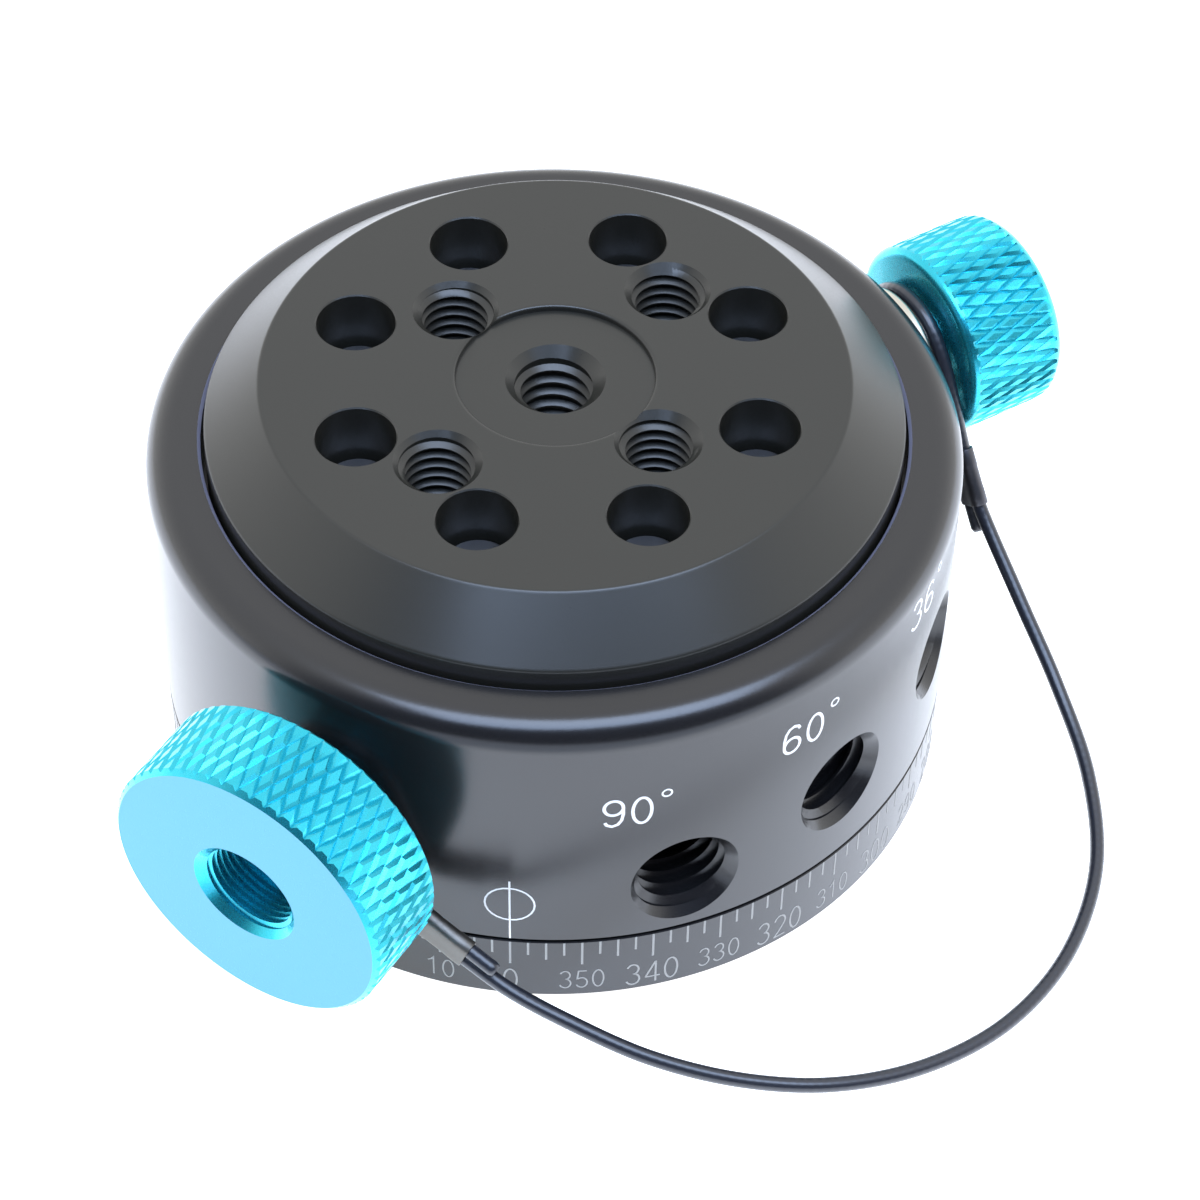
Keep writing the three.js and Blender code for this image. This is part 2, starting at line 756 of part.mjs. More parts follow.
// From the main strand's way into the ferrule, round the neck, and back out to the tail's end.
function loopStretch(loop) {
  const far = -loop.aside - strandOffset;
  const near = -loop.aside + strandOffset;
  const end = loop.start + ferruleLength;
  const shares = [1, 0.5, 0];
  const inwards = shares.map((share) => [loop.start + share * ferruleLength, far]);
  const turns = [-90, -130, -170, -210, -250, -285, -320];
  const round = turns.map((turn) => [
    loopRadius * Math.cos(degrees(turn)),
    loopRadius * Math.sin(degrees(turn)),
  ]);
  const bend = [225, 250].map((turn) => [
    loop.start + tailBend * Math.cos(degrees(turn)),
    near + tailBend * (1 + Math.sin(degrees(turn))),
  ]);
  const outwards = [
    [loop.start, near],
    [loop.start + ferruleLength / 2, near],
    [end, near],
    [end + tailLength, near],
  ];
  return [...inwards, ...round, ...bend, ...outwards].map(([along, across]) => loopPoint(loop, along, across));
}

function cablePath() {
  const route = cableRoute.map(([x, y, z]) => new THREE.Vector3(x, y, z));
  const points = [...loopStretch(lockLoop).reverse(), ...route, ...loopStretch(plungerLoop)];
  return new THREE.CatmullRomCurve3(points);
}

function tetherCable() {
  const path = cablePath();
  const section = new THREE.Shape();
  section.absarc(0, 0, cableRadius, 0, 2 * Math.PI, false);
  const options = {
    steps: Math.round(path.getLength() / cableStep),
    curveSegments: cableSides / 2,
    bevelEnabled: false,
    extrudePath: path,
  };
  return new THREE.ExtrudeGeometry(section, options);
}

// An outline with two straight sides and round ends, or the hole of that form.
function longRound(path, radius, centre) {
  path.absarc(centre, 0, radius, -Math.PI / 2, Math.PI / 2, false);
  path.absarc(-centre, 0, radius, Math.PI / 2, (3 * Math.PI) / 2, false);
  return path;
}

function ferrule(loop) {
  const bore = cableRadius + 2 * seatGap;
  const outline = longRound(new THREE.Shape(), bore + ferruleWall, strandOffset);
  outline.holes.push(longRound(new THREE.Path(), bore, strandOffset));
  const options = { depth: ferruleLength, bevelEnabled: false, curveSegments: boreSides / 2 };
  const from = loopPoint(loop, loop.start, -loop.aside);
  const along = loopPoint(loop, loop.start + ferruleLength, -loop.aside).sub(from).normalize();
  const across = loopPoint(loop, loop.start, 0).sub(from).normalize();
  const frame = new THREE.Matrix4().makeBasis(across, along.clone().cross(across), along);
  return new THREE.ExtrudeGeometry(outline, options).applyMatrix4(frame.setPosition(from));
}

add("scale_base", scaleBase(), "anodised");
add("tripod_bush", tripodBush(), "steel");
baseScrewPlaces(baseScrew).forEach((screw, index) => add(`base_screw_${index + 1}`, screw, "blackSteel"));
add("dust_seal", dustSeal(), "rubber");
add("detent_drum", detentDrum(), "steel");
[
  ["lower", lowerBearingBottom],
  ["upper", upperBearingBottom],
].forEach(([place, bottom]) => {
  const top = bottom + bearingWidth;
  add(`${place}_outer_ring`, ring(bearingOuter - bearingRing, bearingOuter, bottom, top), "steel");
  add(`${place}_inner_ring`, ring(bearingBore, bearingBore + bearingRing, bottom, top), "steel");
  add(`${place}_ball_cage`, ballCage(bottom), "brass");
});
const spacerBottom = lowerBearingBottom + bearingWidth + seatGap;
const spacerInner = bearingOuter - bearingRing;
add("bearing_spacer", ring(spacerInner, bearingOuter, spacerBottom, upperBearingBottom - seatGap), "steel");
const washerTop = washerBottom + washerThickness;
add("preload_washer", ring(drumClipInner, bearingOuter, washerBottom, washerTop), "steel");
add("drum_clip", ringClip(drumClipInner, drumBore + clipGrip - seatGap, drumClipBottom), "darkSteel");
add("hub_clip", ringClip(hubRadius - clipGrip + seatGap, hubClipOuter, hubClipBottom), "darkSteel");
add("bearing_hub", bearingHub(), "steel");
add("housing", housing(), "anodised");
add("top_plate", topPlate(), "anodisedTop");
plateScrewPlaces(capScrew).forEach((screw, index) => add(`plate_screw_${index + 1}`, screw, "steel"));

const lock = sideGroup(lockAngle, lockHeight);
add("lock_knob", lockKnob(), "knobBlue", lock);
add("lock_stud", pin(lockThreadRadius, shoeOuter + seatGap, lockStudOuter, boreSides), "steel", lock);
add("brake_shoe", pin(lockThreadRadius, shoeInner, shoeOuter, boreSides), "brass", lock);

const plunger = sideGroup(sideHoles[plungerHole].angle, sideHoles[plungerHole].height);
add("plunger_sleeve", plungerSleeve(), "paleSteel", plunger);
add("plunger_pin", plungerPin(), "steel", plunger);
add("plunger_spring", plungerSpring(), "steel", plunger);
add("plunger_knob", plungerKnob(), "knobBlue", plunger);
add("knob_grub_screw", grubScrew(), "blackSteel", plunger);

add("tether_cable", tetherCable(), "cableBlack");
add("front_ferrule", ferrule(lockLoop), "steel");
add("rear_ferrule", ferrule(plungerLoop), "darkSteel");

export default head;
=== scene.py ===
# A panoramic tripod head, dressed piece by piece: the cord, then the outside and the inside.
# Everything is in metres, +Z is up, and the head stands on the floor at the origin.
import math

import bmesh
import bpy
from mathutils import Matrix, Vector


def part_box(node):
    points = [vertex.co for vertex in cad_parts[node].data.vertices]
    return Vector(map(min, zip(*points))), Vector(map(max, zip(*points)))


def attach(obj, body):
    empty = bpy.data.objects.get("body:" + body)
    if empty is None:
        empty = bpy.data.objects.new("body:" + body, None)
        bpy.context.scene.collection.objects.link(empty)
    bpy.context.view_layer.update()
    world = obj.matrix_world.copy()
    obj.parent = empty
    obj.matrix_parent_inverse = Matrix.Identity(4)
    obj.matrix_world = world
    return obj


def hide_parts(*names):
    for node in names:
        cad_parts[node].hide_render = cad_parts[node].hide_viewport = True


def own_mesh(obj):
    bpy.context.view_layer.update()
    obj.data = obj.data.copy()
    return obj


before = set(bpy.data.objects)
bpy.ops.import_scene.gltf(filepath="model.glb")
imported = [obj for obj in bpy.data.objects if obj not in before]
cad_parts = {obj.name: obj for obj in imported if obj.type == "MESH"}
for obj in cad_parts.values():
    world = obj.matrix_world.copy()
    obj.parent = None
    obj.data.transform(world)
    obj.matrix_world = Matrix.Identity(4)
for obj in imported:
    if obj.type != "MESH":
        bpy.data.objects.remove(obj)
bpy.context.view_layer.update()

# Camera: it looks down on the head from the lock knob's side, rolled by less than a degree.
# The distance and the lens come from a fit to the outlines in the photograph.
camera_azimuth = math.radians(-135.5)
camera_elevation = math.radians(47.164)
camera_distance = 0.292809
camera_aim = Vector((0.002618, -0.002664, 0.011658))
camera_roll = math.radians(0.986)
camera_lens = 106.887
sensor_width = 36


def toward(azimuth, elevation):
    """The direction at an azimuth and an elevation, as seen from the head."""
    flat = math.cos(elevation)
    return Vector((flat * math.cos(azimuth), flat * math.sin(azimuth), math.sin(elevation)))


def new_object(name, data):
    """An object at the origin, linked to the scene."""
    made = bpy.data.objects.new(name, data)
    bpy.context.scene.collection.objects.link(made)
    return made


view_back = toward(camera_azimuth, camera_elevation)
level_right = Vector((0, 0, 1)).cross(view_back).normalized()
level_up = view_back.cross(level_right)
view_right = level_right * math.cos(camera_roll) + level_up * math.sin(camera_roll)
view_up = view_back.cross(view_right)
camera_data = bpy.data.cameras.new("camera")
camera_data.lens = camera_lens
camera_data.sensor_width = sensor_width
camera_data.clip_start = 0.01
camera_data.clip_end = 20
camera = new_object("camera", camera_data)
camera.matrix_world = Matrix((
    (view_right.x, view_up.x, view_back.x, 0),
    (view_right.y, view_up.y, view_back.y, 0),
    (view_right.z, view_up.z, view_back.z, 0),
    (0, 0, 0, 1),
))
camera.location = camera_aim + view_back * camera_distance
bpy.context.scene.camera = camera

# Tether: a thin steel cable in a glossy clear coat, looped round the necks of both knobs.
# Each end passes back through a crimped ferrule, and a short tail stands out of it.
cable_radius = 0.0006
cable_points = 640
cable_sides = 16
tail_taper = 0.82
loop_radius = 0.0051
strand_offset = 0.00063
tail_length = 0.0025
tail_bend = 0.0038
ferrule_length = 0.005
neck_turns = (-90, -130, -170, -210, -250, -285, -320)
tail_turns = (225, 250)
curve_steps = 24
lock_angle = math.radians(-166.4)
lock_height = 0.019
plunger_angle = math.radians(-116.04 + 4 * 180 / 7)
plunger_height = 0.0236
lock_loop = {
    "angle": lock_angle,
    "height": lock_height,
    "plane": 0.03367,
    "tilt": math.radians(-20.8),
    "start": 0.0105,
    "aside": 0.0031,
}
plunger_loop = {
    "angle": plunger_angle,
    "height": plunger_height,
    "plane": 0.0343,
    "tilt": math.radians(-124.8),
    "start": 0.0087,
    "aside": 0.0038,
}
cable_route = [
    (-0.0286, -0.0244, 0.0086),
    (-0.027, -0.029, 0.0076),
    (-0.024, -0.035, 0.0059),
    (-0.0195, -0.0405, 0.0041),
    (-0.014, -0.045, 0.0027),
    (-0.007, -0.0482, 0.0015),
    (0.001, -0.0496, 0.0008),
    (0.0095, -0.0485, 0.0007),
    (0.0175, -0.0447, 0.0014),
    (0.0232, -0.0388, 0.0032),
    (0.0268, -0.032, 0.006),
    (0.0288, -0.0258, 0.0099),
]


def loop_point(loop, along, across):
    """A point of a loop's plane in the head's frame, along and across its ferrule."""
    side = along * math.cos(loop["tilt"]) - across * math.sin(loop["tilt"])
    rise = along * math.sin(loop["tilt"]) + across * math.cos(loop["tilt"])
    out = Vector((math.cos(loop["angle"]), math.sin(loop["angle"]), 0))
    left = Vector((-math.sin(loop["angle"]), math.cos(loop["angle"]), 0))
    return out * loop["plane"] + left * side + Vector((0, 0, loop["height"] + rise))


def loop_stretch(loop):
    """From the main strand's way into the ferrule, round the neck, and out to the tail."""
    far = -loop["aside"] - strand_offset
    near = -loop["aside"] + strand_offset
    start, end = loop["start"], loop["start"] + ferrule_length
    inwards = [(start + share * ferrule_length, far) for share in (1, 0.5, 0)]
    neck = [math.radians(turn) for turn in neck_turns]
    round_neck = [(loop_radius * math.cos(turn), loop_radius * math.sin(turn)) for turn in neck]
    bend = [
        (start + tail_bend * math.cos(turn), near + tail_bend * (1 + math.sin(turn)))
        for turn in map(math.radians, tail_turns)
    ]
    middle = start + ferrule_length / 2
    outwards = [(start, near), (middle, near), (end, near), (end + tail_length, near)]
    return [loop_point(loop, *place) for place in inwards + round_neck + bend + outwards]


def smooth_path(knots, count):
    """A centripetal curve through the knots, as evenly spaced points."""
    ends = [knots[0] * 2 - knots[1], *knots, knots[-1] * 2 - knots[-2]]
    fine = []
    for before, here, there, after in zip(ends, ends[1:], ends[2:], ends[3:]):
        spans = [
            max((b - a).length, 1e-9) ** 0.5
            for a, b in ((before, here), (here, there), (there, after))
        ]
        leave = (here - before) / spans[0] - (there - before) / (spans[0] + spans[1])
        leave = (leave + (there - here) / spans[1]) * spans[1]
        arrive = (there - here) / spans[1] - (after - here) / (spans[1] + spans[2])
        arrive = (arrive + (after - there) / spans[2]) * spans[1]
        for step in range(curve_steps):
            t = step / curve_steps
            a = 2 * t**3 - 3 * t**2 + 1
            b = t**3 - 2 * t**2 + t
            c = -2 * t**3 + 3 * t**2
            d = t**3 - t**2
            fine.append(here * a + leave * b + there * c + arrive * d)
    fine.append(knots[-1])
    lengths = [0]
    for one, two in zip(fine, fine[1:]):
        lengths.append(lengths[-1] + (two - one).length)
    even, place = [], 0
    for index in range(count):
        wanted = lengths[-1] * index / (count - 1)
        while place < len(fine) - 2 and lengths[place + 1] < wanted:
            place += 1
        share = (wanted - lengths[place]) / (lengths[place + 1] - lengths[place])
        even.append(fine[place].lerp(fine[place + 1], min(1, max(0, share))))
    return even, lengths[-1]


def add_node(owner, kind, **values):
    """A node in a material or world, with its settings and its sockets' values by name."""
    node = owner.node_tree.nodes.new(kind)
    for key, value in values.items():
        if key in node.inputs:
            node.inputs[key].default_value = value
        else:
            setattr(node, key, value)
    return node


def wire(owner, source, socket, target, entry):
    owner.node_tree.links.new(source.outputs[socket], target.inputs[entry])


def shader_of(material):
    return material.node_tree.nodes["Principled BSDF"]


def new_finish(name, colour, metallic, roughness, grain=None, more=None):
    """A material with its shader's values, and more of them by their sockets' names.

    The grain is fine and blasted: bumps of one size and depth, and a roughness that wanders
    with them from one value to another.
    """
    material = bpy.data.materials.new(name)
    material.use_nodes = True
    shader = shader_of(material)
    values = {"Base Color": (*colour, 1), "Metallic": metallic, "Roughness": roughness}
    for socket, value in {**values, **(more or {})}.items():
        shader.inputs[socket].default_value = value
    if grain:
        size, depth, roughness_from, roughness_to = grain
        place = add_node(material, "ShaderNodeTexCoord")
        noise = add_node(material, "ShaderNodeTexNoise", Scale=1 / size, Detail=3, Roughness=0.6)
        wire(material, place, "Object", noise, "Vector")
        spread = add_node(material, "ShaderNodeMapRange")
        spread.inputs["To Min"].default_value = roughness_from
        spread.inputs["To Max"].default_value = roughness_to
        wire(material, noise, "Fac", spread, "Value")
        wire(material, spread, "Result", shader, "Roughness")
        bump = add_node(material, "ShaderNodeBump", Strength=1, Distance=depth)
        wire(material, noise, "Fac", bump, "Height")
        wire(material, bump, "Normal", shader, "Normal")
    return material


def new_mesh(shape, name):
    """A bmesh written to a mesh, and freed."""
    mesh = bpy.data.meshes.new(name)
    shape.to_mesh(mesh)
    shape.free()
    return mesh


def finish_piece(shape, name, body, finish, replaced=(), crease=32):
    """Writes a bmesh as a smooth piece with sharp corners, and puts it on its body."""
    limit = math.radians(crease)
    for face in shape.faces:
        face.smooth = True
    for edge in shape.edges:
        edge.smooth = edge.calc_face_angle(math.pi) < limit
    mesh = new_mesh(shape, name)
    piece = new_object(name, mesh)
    mesh.materials.append(finish)
    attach(piece, body)
    if replaced:
        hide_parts(*replaced)
    return piece


def tube(path, radius, sides, taper):
    """A closed tube along a path: a circle carried from point to point, smaller at both ends."""
    shape = bmesh.new()
    uv = shape.loops.layers.uv.new("along")
    heading = (path[1] - path[0]).normalized()
    across = heading.orthogonal().normalized()
    rings = []
    for index, point in enumerate(path):
        ahead = path[min(index + 1, len(path) - 1)] - path[max(index - 1, 0)]
        across = (across - across.project(ahead)).normalized()
        beside = ahead.normalized().cross(across)
        size = radius * (taper if index in (0, len(path) - 1) else 1)
        ring = []
        for side in range(sides):
            turn = 2 * math.pi * side / sides
            offset = across * math.cos(turn) + beside * math.sin(turn)
            ring.append(shape.verts.new(point + offset * size))
        rings.append(ring)
    for place, (one, two) in enumerate(zip(rings, rings[1:])):
        for side in range(sides):
            after = (side + 1) % sides
            face = shape.faces.new((one[side], one[after], two[after], two[side]))
            values = ((place, side), (place, side + 1), (place + 1, side + 1), (place + 1, side))
            for loop, (along, turn) in zip(face.loops, values):
                loop[uv].uv = (along / (len(rings) - 1), turn / sides)
    shape.faces.new(list(reversed(rings[0])))
    shape.faces.new(rings[-1])
    return shape


cable_knots = list(reversed(loop_stretch(lock_loop)))
cable_knots += [Vector(point) for point in cable_route]
cable_knots += loop_stretch(plunger_loop)
cable_path, cable_length = smooth_path(cable_knots, cable_points)

cable_coat = new_finish(
    "cable_coat", (0.012, 0.014, 0.022), 0.2, 0.42,
    more={"Coat Weight": 0.6, "Coat Roughness": 0.2},
)
strand_pitch = 0.0022
strands = add_node(cable_coat, "ShaderNodeTexWave", Scale=1, Distortion=0.4)
strands.inputs["Detail Scale"].default_value = 2
strand_map = add_node(cable_coat, "ShaderNodeMapping")
strand_map.inputs["Scale"].default_value = (cable_length / strand_pitch, 1, 1)
cable_uv = add_node(cable_coat, "ShaderNodeUVMap", uv_map="along")
wire(cable_coat, cable_uv, "UV", strand_map, "Vector")
wire(cable_coat, strand_map, "Vector", strands, "Vector")
strand_bump = add_node(cable_coat, "ShaderNodeBump", Strength=0.35, Distance=0.00004)
wire(cable_coat, strands, "Fac", strand_bump, "Height")
wire(cable_coat, strand_bump, "Normal", shader_of(cable_coat), "Normal")
cable = finish_piece(
    tube(cable_path, cable_radius, cable_sides, tail_taper),
    "coated_cable", "housing", cable_coat, ["tether_cable"],
)

# Ferrules: short oval tubes of soft metal, pressed until their two lobes grip both strands.
# The one at the lock knob is bright, and the one at the plunger is oxidised dark.
ferrule_wall = 0.0002
ferrule_bore = 0.00062
ferrule_lip = 0.00005
ferrule_sides = 56
ferrule_waist = 0.16
lobe_sharpness = 2.6
press_mark = (0.0014, 0.0018, 0.0034, 0.0038)
press_depth = 0.00003


def ferrule_ring(shape, radius, along, place):
    """One ring of the two-lobed outline, put where the ferrule is at that length."""
    made = bmesh.ops.create_circle(shape, segments=ferrule_sides, radius=1)["verts"]
    for vert in made:
        x, y = vert.co.x, vert.co.y
        lobe = math.tanh(lobe_sharpness * x) / math.tanh(lobe_sharpness)
        waist = 1 - ferrule_waist * (1 - lobe * lobe)
        vert.co = place(radius * x + strand_offset * lobe, radius * y * waist, along)
    return [edge for edge in shape.edges if all(vert in made for vert in edge.verts)]


def crimped_ferrule(loop):
    """Outer skin with one shallow press mark, a bore, and rounded lips at both ends."""
    start = loop_point(loop, loop["start"], -loop["aside"])
    end = loop_point(loop, loop["start"] + ferrule_length, -loop["aside"])
    along = (end - start).normalized()
    across = (loop_point(loop, loop["start"], 0) - start).normalized()
    normal = along.cross(across)
    outer, lip = ferrule_bore + ferrule_wall, ferrule_lip
    pressed = outer - press_depth
    stations = [
        (ferrule_bore, 0), (ferrule_bore + lip, 0), (outer - lip * 0.4, lip * 0.5),
        (outer, lip * 1.6), (outer, press_mark[0]), (pressed, press_mark[1]),
        (pressed, press_mark[2]), (outer, press_mark[3]), (outer, ferrule_length - lip * 1.6),
        (outer - lip * 0.4, ferrule_length - lip * 0.5), (ferrule_bore + lip, ferrule_length),
        (ferrule_bore, ferrule_length),
    ]
    shape = bmesh.new()

    def place(x, y, z):
        return start + across * x + normal * y + along * z

    rings = [ferrule_ring(shape, radius, length, place) for radius, length in stations]
    for one, two in zip(rings, rings[1:] + rings[:1]):
        bmesh.ops.bridge_loops(shape, edges=one + two)
    bmesh.ops.recalc_face_normals(shape, faces=shape.faces)
    return shape


bright_ferrule = new_finish(
    "bright_ferrule", (0.14, 0.132, 0.12), 1, 0.44, (0.00018, 0.00001, 0.36, 0.54),
)
dark_ferrule = new_finish("dark_ferrule", (0.09, 0.09, 0.1), 1, 0.4, (0.00018, 0.00001, 0.3, 0.52))
front_crimp = finish_piece(
    crimped_ferrule(lock_loop), "front_crimp", "housing", bright_ferrule,
    ["front_ferrule"], 50,
)
rear_crimp = finish_piece(
    crimped_ferrule(plunger_loop), "rear_crimp", "housing", dark_ferrule,
    ["rear_ferrule"], 50,
)

# Scale base: a turned and black anodised disc that screws to the tripod.
# Its degree scale is cut by laser through the black, so the marks are silver grey.
base_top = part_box("scale_base")[1].z
body_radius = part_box("scale_base")[1].x
bush_bore = 0.0071
base_chamfer = 0.00066
edge_break = 0.00008
seal_inner, seal_outer = 0.0267, 0.0283
seal_groove = 0.001
fine_steps = 256
ring_support = 0.00012
round_step = 0.00018
screw_circle = 0.0204
sunk_radius = 0.0029
sunk_inset = 0.0005
sunk_end = 0.0019
screw_bore = 0.0016
screw_hole_end = 0.009
cut_past = 0.001


def turned(profile, steps, rounds=None):
    """A profile of radius and height turned about +Z; rounds gives some corners a radius.

    A ring close to each end of a round keeps the flat beside it flat.
    """
    shape = bmesh.new()
    corners, bevels = [], []
    for index, (radius, height) in enumerate(profile):
        size = (rounds or {}).get(index, 0)
        here = Vector((radius, 0, height))
        for other in (index - 1, None, (index + 1) % len(profile)):
            if other is None:
                corners.append(shape.verts.new(here))
                if size:
                    bevels.append((corners[-1], size))
                continue
            away = Vector((profile[other][0], 0, profile[other][1])) - here
            if size and away.length > size + 2 * ring_support:
                corners.append(shape.verts.new(here + away.normalized() * (size + ring_support)))
    on_axis = profile[0][0] == 0 and profile[-1][0] == 0
    for one, two in zip(corners, corners[1:] + ([] if on_axis else corners[:1])):
        shape.edges.new((one, two))
    for corner, size in bevels:
        bmesh.ops.bevel(
            shape, geom=[corner], offset=size, offset_type="OFFSET",
            segments=max(4, round(size / round_step)), profile=0.5, affect="VERTICES", material=-1,
        )
    bmesh.ops.spin(
        shape, geom=shape.verts[:] + shape.edges[:], cent=(0, 0, 0), axis=(0, 0, 1),
        angle=2 * math.pi, steps=steps, use_merge=True,
    )
    bmesh.ops.remove_doubles(shape, verts=shape.verts, dist=1e-7)
    bmesh.ops.recalc_face_normals(shape, faces=shape.faces)
    return shape


def gathered(shapes):
    """Several shapes as one."""
    whole = bmesh.new()
    for shape in shapes:
        mesh = new_mesh(shape, "part")
        whole.from_mesh(mesh)
        bpy.data.meshes.remove(mesh)
    return whole


def carved(shape, cutters):
    """The shape with cutting shapes taken out of it."""
    block = new_object("block", new_mesh(shape, "block"))
    tool = new_object("tool", new_mesh(gathered(cutters), "tool"))
    modifier = block.modifiers.new("carve", "BOOLEAN")
    modifier.operation = "DIFFERENCE"
    modifier.solver = "EXACT"
    modifier.object = tool
    bpy.context.view_layer.update()
    cut_block = block.evaluated_get(bpy.context.evaluated_depsgraph_get())
    mesh = bpy.data.meshes.new_from_object(cut_block)
    result = bmesh.new()
    result.from_mesh(mesh)
    for leftover in (block, tool):
        data = leftover.data
        bpy.data.objects.remove(leftover)
        bpy.data.meshes.remove(data)
    bpy.data.meshes.remove(mesh)
    return result


def moved(shape, matrix):
    bmesh.ops.transform(shape, matrix=matrix, verts=shape.verts)
    return shape


def around(radius, angle):
    return Matrix.Rotation(angle, 4, "Z") @ Matrix.Translation((radius, 0, 0))


def outwards(angle, height):
    """Turns a shape built about +Z so that +Z points out from the head's axis."""
    tip = Matrix.Rotation(math.pi / 2, 4, "Y")
    return Matrix.Translation((0, 0, height)) @ Matrix.Rotation(angle, 4, "Z") @ tip


black_anodised = new_finish(
    "black_anodised", (0.01, 0.0098, 0.0108), 0, 0.28, (0.0002, 0.000004, 0.2, 0.28),
    {"IOR": 1.56},
)
base_profile = [
    (bush_bore, 0), (body_radius - base_chamfer, 0), (body_radius, base_chamfer),
    (body_radius, base_top - edge_break), (body_radius - edge_break, base_top),
    (seal_outer, base_top), (seal_outer, base_top - seal_groove),
    (seal_inner, base_top - seal_groove), (seal_inner, base_top), (bush_bore, base_top),
]
sunk_hole = [
    (0, -cut_past), (sunk_radius, -cut_past), (sunk_radius, sunk_inset), (screw_bore, sunk_end),
    (screw_bore, screw_hole_end), (0, screw_hole_end),
]
screw_places = [around(screw_circle, math.radians(30 + 60 * index)) for index in range(6)]
base_cutters = [moved(turned(sunk_hole, 32), place) for place in screw_places]
base_shape = carved(turned(base_profile, fine_steps), base_cutters)
finish_piece(base_shape, "turned_base", "base", black_anodised, ["scale_base"])

# Scale marks: ticks every two and a half degrees and a number every ten, two sizes in turn.
# The laser leaves them almost flush, so they stand a hundredth of a millimetre proud.
index_angle = math.radians(-140.42)
mark_proud = 0.000012
mark_depth = 0.00004
tick_count = 144
tick_step = math.radians(2.5)
tick_width = 0.00018
tick_bottoms = {4: 0.00445, 2: 0.00513, 1: 0.00564}
tick_top = base_top - edge_break
large_number = {"foot": 0.00105, "height": 0.00275, "width": 1, "pen": 0.00016}
small_number = {"foot": 0.0014, "height": 0.0023, "width": 1, "pen": 0.00013}
digit_pitch = 0.555
digit_middle = 0.235
longest_step = 0.0004


def arc(x, y, wide, high, start, end):
    """Points of part of an ellipse, between two angles in degrees."""
    count = max(3, round(abs(end - start) / 15))
    turns = [math.radians(start + (end - start) * step / count) for step in range(count + 1)]
    return [(x + wide * math.cos(turn), y + high * math.sin(turn)) for turn in turns]


lower_bowl = arc(0.235, 0.3, 0.185, 0.255, 180, 525)
six = [(0.4, 0.8), (0.36, 0.9), (0.26, 0.955), (0.15, 0.9), (0.08, 0.76), (0.05, 0.55)] + lower_bowl
digit_lines = {
    "0": [arc(0.235, 0.5, 0.185, 0.455, 0, 360)],
    "1": [[(0.07, 0.76), (0.19, 0.84), (0.27, 0.955), (0.27, 0.045)]],
    "2": [
        arc(0.23, 0.7, 0.185, 0.255, 165, -30) + [(0.2, 0.25), (0.05, 0.045)],
        [(0.04, 0.045), (0.43, 0.045)],
    ],
    "3": [arc(0.22, 0.735, 0.165, 0.22, 160, -75) + arc(0.22, 0.285, 0.19, 0.24, 75, -160)],
    "4": [[(0.33, 0.03), (0.33, 0.965)], [(0.32, 0.95), (0.04, 0.3)], [(0.02, 0.28), (0.46, 0.28)]],
    "5": [[(0.4, 0.95), (0.12, 0.95), (0.075, 0.52)] + arc(0.225, 0.31, 0.19, 0.265, 125, -155)],
    "6": [six],
    "7": [[(0.04, 0.95), (0.42, 0.95), (0.28, 0.66), (0.2, 0.38), (0.17, 0.04)]],
    "8": [arc(0.235, 0.735, 0.16, 0.215, 0, 360), arc(0.235, 0.285, 0.185, 0.24, 0, 360)],
    "9": [[(0.47 - x, 1 - y) for x, y in six]],
}


def pen_line(points, width):
    """A mark as wide as the pen along a path: drawn out into a low wall, then thickened."""
    shape = bmesh.new()
    verts = [shape.verts.new((x, y, -mark_depth)) for x, y in points]
    for pair in zip(verts, verts[1:]):
        shape.edges.new(pair)
    bmesh.ops.remove_doubles(shape, verts=verts, dist=longest_step / 40)
    for edge in shape.edges[:]:
        cuts = int(edge.calc_length() / longest_step)
        if cuts:
            bmesh.ops.subdivide_edges(shape, edges=[edge], cuts=cuts)
    raised = bmesh.ops.extrude_edge_only(shape, edges=shape.edges[:])["geom"]
    for vert in [item for item in raised if isinstance(item, bmesh.types.BMVert)]:
        vert.co.z = mark_proud
    bmesh.ops.recalc_face_normals(shape, faces=shape.faces)
    shape.normal_update()
    shifts = [(vert, vert.normal * vert.calc_shell_factor() * width / 2) for vert in shape.verts]
    for vert, shift in shifts:
        vert.co += shift
    bmesh.ops.solidify(shape, geom=shape.faces[:], thickness=width)
    return shape


def wrapped(shape, radius, angle, height):
    """Bends a mark round a cylinder about +Z, with its Z as the height over the surface."""
    for vert in shape.verts:
        turn = angle + vert.co.x / radius
        out = radius + vert.co.z
        vert.co = (out * math.cos(turn), out * math.sin(turn), height + vert.co.y)
    bmesh.ops.recalc_face_normals(shape, faces=shape.faces)
    return shape


def written(words, turn, foot, height, width, pen):
    """The digits of a number, centred at an angle on the body and standing at a height."""
    marks = []
    pitch = digit_pitch * height * width
    first = -(len(words) - 1) / 2 * pitch - digit_middle * height * width
    for place, digit in enumerate(words):
        for line in digit_lines[digit]:
            points = [(first + place * pitch + x * height * width, y * height) for x, y in line]
            marks.append(wrapped(pen_line(points, pen), body_radius, turn, foot))
    return marks


scale_marks = []
for tick in range(tick_count):
    bottom = next(low for every, low in tick_bottoms.items() if tick % every == 0)
    tick_line = pen_line([(0, bottom), (0, tick_top)], tick_width)
    scale_marks.append(wrapped(tick_line, body_radius, index_angle - tick_step * tick, 0))
for number in range(0, 360, 10):
    style = large_number if number % 20 == 0 else small_number
    scale_marks += written(str(number), index_angle - math.radians(number), **style)
mark_silver = new_finish(
    "mark_silver", (0.29, 0.29, 0.28), 0.3, 0.55, (0.00009, 0.000003, 0.45, 0.7),
)
finish_piece(gathered(scale_marks), "scale_marks", "base", mark_silver)

